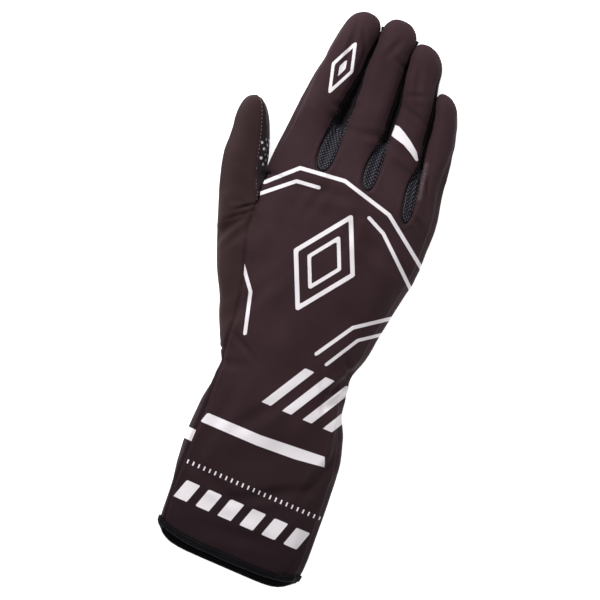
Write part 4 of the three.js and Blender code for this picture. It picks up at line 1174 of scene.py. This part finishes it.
def stitches(name, runs, offset, length, gap, radius, material, node):
    """Short threads lying along a seam, each a tapered bead."""
    tree = tree_of(P)
    coords, polygons = [], []
    for run in runs:
        rows = softened(P[run], 6, False)
        total = np.concatenate([[0], np.cumsum(np.linalg.norm(np.diff(rows, axis=0), axis=1))])
        at = END_ROOM
        while at + length < total[-1] - END_ROOM:
            ends = []
            for s in (at, at + length):
                p, q = (np.array([np.interp(v, total, rows[:, k]) for k in range(3)]) for v in (s, s + 0.4))
                n = N[tree.find(Vector(p))[1]]
                goal = p + np.cross(n, (q - p) / max(np.linalg.norm(q - p), 1e-9)) * offset
                spot = tree.find(Vector(goal))[1]
                ends.append(goal + N[spot] * (float(np.dot(P[spot] - goal, N[spot])) + radius * 0.5))
            add_bead(coords, polygons, ends[0], ends[1], radius)
            at += length + gap
    obj = make_object(name, np.array(coords), polygons, {}, material)
    return place_on(obj, node)


def tube_faces(rows, sides, start=0, closed=False):
    """Quads between rows of that many points, and from the last row to the first if closed."""
    return [[start + p * sides + k, start + p * sides + (k + 1) % sides,
             start + q * sides + (k + 1) % sides, start + q * sides + k]
            for p, q in zip(range(rows if closed else rows - 1), [*range(1, rows), 0]) for k in range(sides)]


def add_bead(coords, polygons, a, b, radius):
    axis = (b - a) / max(np.linalg.norm(b - a), 1e-9)
    side = np.cross(axis, [0, 0, 1.0])
    if np.linalg.norm(side) < 1e-3:
        side = np.cross(axis, [0, 1.0, 0])
    side /= np.linalg.norm(side)
    up = np.cross(side, axis)
    start = len(coords)
    for t, r in ((0, 0.35), (0.2, 0.95), (0.8, 0.95), (1, 0.35)):
        for k in range(BEAD_SIDES):
            turn = 2 * math.pi * k / BEAD_SIDES
            coords.append(a + (b - a) * t + (side * math.cos(turn) + up * math.sin(turn)) * radius * r)
    polygons += tube_faces(4, BEAD_SIDES, start)
    polygons.append([start + k for k in reversed(range(BEAD_SIDES))])
    polygons.append([start + 3 * BEAD_SIDES + k for k in range(BEAD_SIDES)])


def binding():
    """Tape folded over the mouth: a closed loop in section, outside, round the hem and inside."""
    edge = P[hem]
    up = unit(P[lower_rings[-3]] - edge)
    out = N[hem] - up * np.einsum("ij,ij->i", N[hem], up)[:, None]
    out = unit(softened(out, 3, True))
    inner = edge - out * WALL
    wide = BINDING_WIDTH
    outside = [(0, wide), (0.7, wide + 0.15), (1.0, wide - 0.4), (1.1, wide / 2)]
    legs = [(TAPE_GAP + BINDING_THICKNESS * share, high) for share, high in outside]
    middle, half = (edge + inner) / 2, WALL / 2 + TAPE_GAP + BINDING_THICKNESS
    turns = [math.pi * k / (FOLD_STEPS - 1) for k in range(FOLD_STEPS)]
    section = [(edge, side, high) for side, high in legs]
    section += [(middle, half * math.cos(t), -half * 0.8 * math.sin(t) - TAPE_GAP) for t in turns]
    section += [(inner, -side, high) for side, high in reversed(legs)]
    n, m = len(hem), len(section)
    arc = np.concatenate([[0], np.cumsum(np.linalg.norm(np.diff(edge, axis=0), axis=1))])
    rib = 1 + 0.05 * np.sin(arc * 2 * math.pi / 4.3) + 0.04 * np.sin(arc * 2 * math.pi / 7.1)
    coords = np.zeros((n * m, 3))
    for j, (base, side, high) in enumerate(section):
        coords[j::m] = base + out * (side * rib)[:, None] + up * high
    coords[:, 2] = np.maximum(coords[:, 2], 0.0)
    values = {"across": np.tile(np.arange(m) * 0.62, n), "along": np.repeat(arc, m)}
    tape = tape_cloth("binding_tape")
    obj = make_object("cuff_binding_tape", coords, tube_faces(n, m, closed=True), values, tape)
    return place_on(obj, "cuff_binding")


objects = {name: panel(name) for name in dict.fromkeys(labels.tolist())}
objects["cuff_binding"] = binding()
light_thread = thread_material("light_thread", (150, 138, 142))
dark_thread = thread_material("dark_thread", (112, 100, 108))
thumb_runs = chain([("thumb_back", "thumb_front")], lambda p: p[2] > 7.5)
objects["thumb_stitches"] = stitches(
    "thumb_stitches", thumb_runs, 1.0, 1.1, 0.9, 0.13, light_thread, "thumb_back")
tongue_runs = chain([p for p in mesh_pairs if "back_panel" in p],
                    lambda p: p[1] < ROOT_Y + SHIFT_Y + 6 and p[2] > 8)
objects["knuckle_stitches"] = stitches(
    "knuckle_stitches", tongue_runs, 1.2, 1.3, 0.8, 0.14, dark_thread, "back_panel")

# Studio
ground = Shade("studio_floor", 0.9)
ground.set("Base Color", (0.9, 0.9, 0.9, 1))
ground.set("Emission Color", (1, 1, 1, 1))
ground.set("Emission Strength", 0.8)
floor_plan = strip(-FLOOR_REACH, FLOOR_REACH, -FLOOR_REACH, FLOOR_REACH)
floor_corners = np.array([(x, y, FLOOR_Z) for x, y in floor_plan])
make_object("floor", floor_corners, [(0, 1, 2, 3)], {}, ground.material)

world = bpy.data.worlds.new("studio")
bpy.context.scene.world = world
world.use_nodes = True
sky = world.node_tree.nodes["Background"].inputs
sky["Color"].default_value = (1, 1, 1, 1)
sky["Strength"].default_value = 0.36
bpy.context.scene.view_settings.view_transform = "Standard"


def area_light(name, place, size, power):
    data = bpy.data.lights.new(name, "AREA")
    data.size = size
    data.energy = power
    light = add_object(name, data)
    light.location = place
    light.rotation_euler = (-Vector(place)).to_track_quat("-Z", "Y").to_euler()


area_light("key", (-0.62, 0.72, 0.72), 0.4, 15.6)
area_light("fill", (0.45, -0.35, 1.0), 0.6, 1.4)

# The photo is taken from straight above, with the glove leaning to the right in the picture
TURN = math.radians(23.5)
VIEW_WIDTH = 0.3117
CAMERA_HEIGHT = 6.0
camera_data = bpy.data.cameras.new("camera")
camera_data.angle = 2 * math.atan(VIEW_WIDTH / 2 / CAMERA_HEIGHT)
camera = add_object("camera", camera_data)
camera.location = (0.0052, -0.00572, CAMERA_HEIGHT)
camera.rotation_euler = (0, 0, TURN)
bpy.context.scene.camera = camera
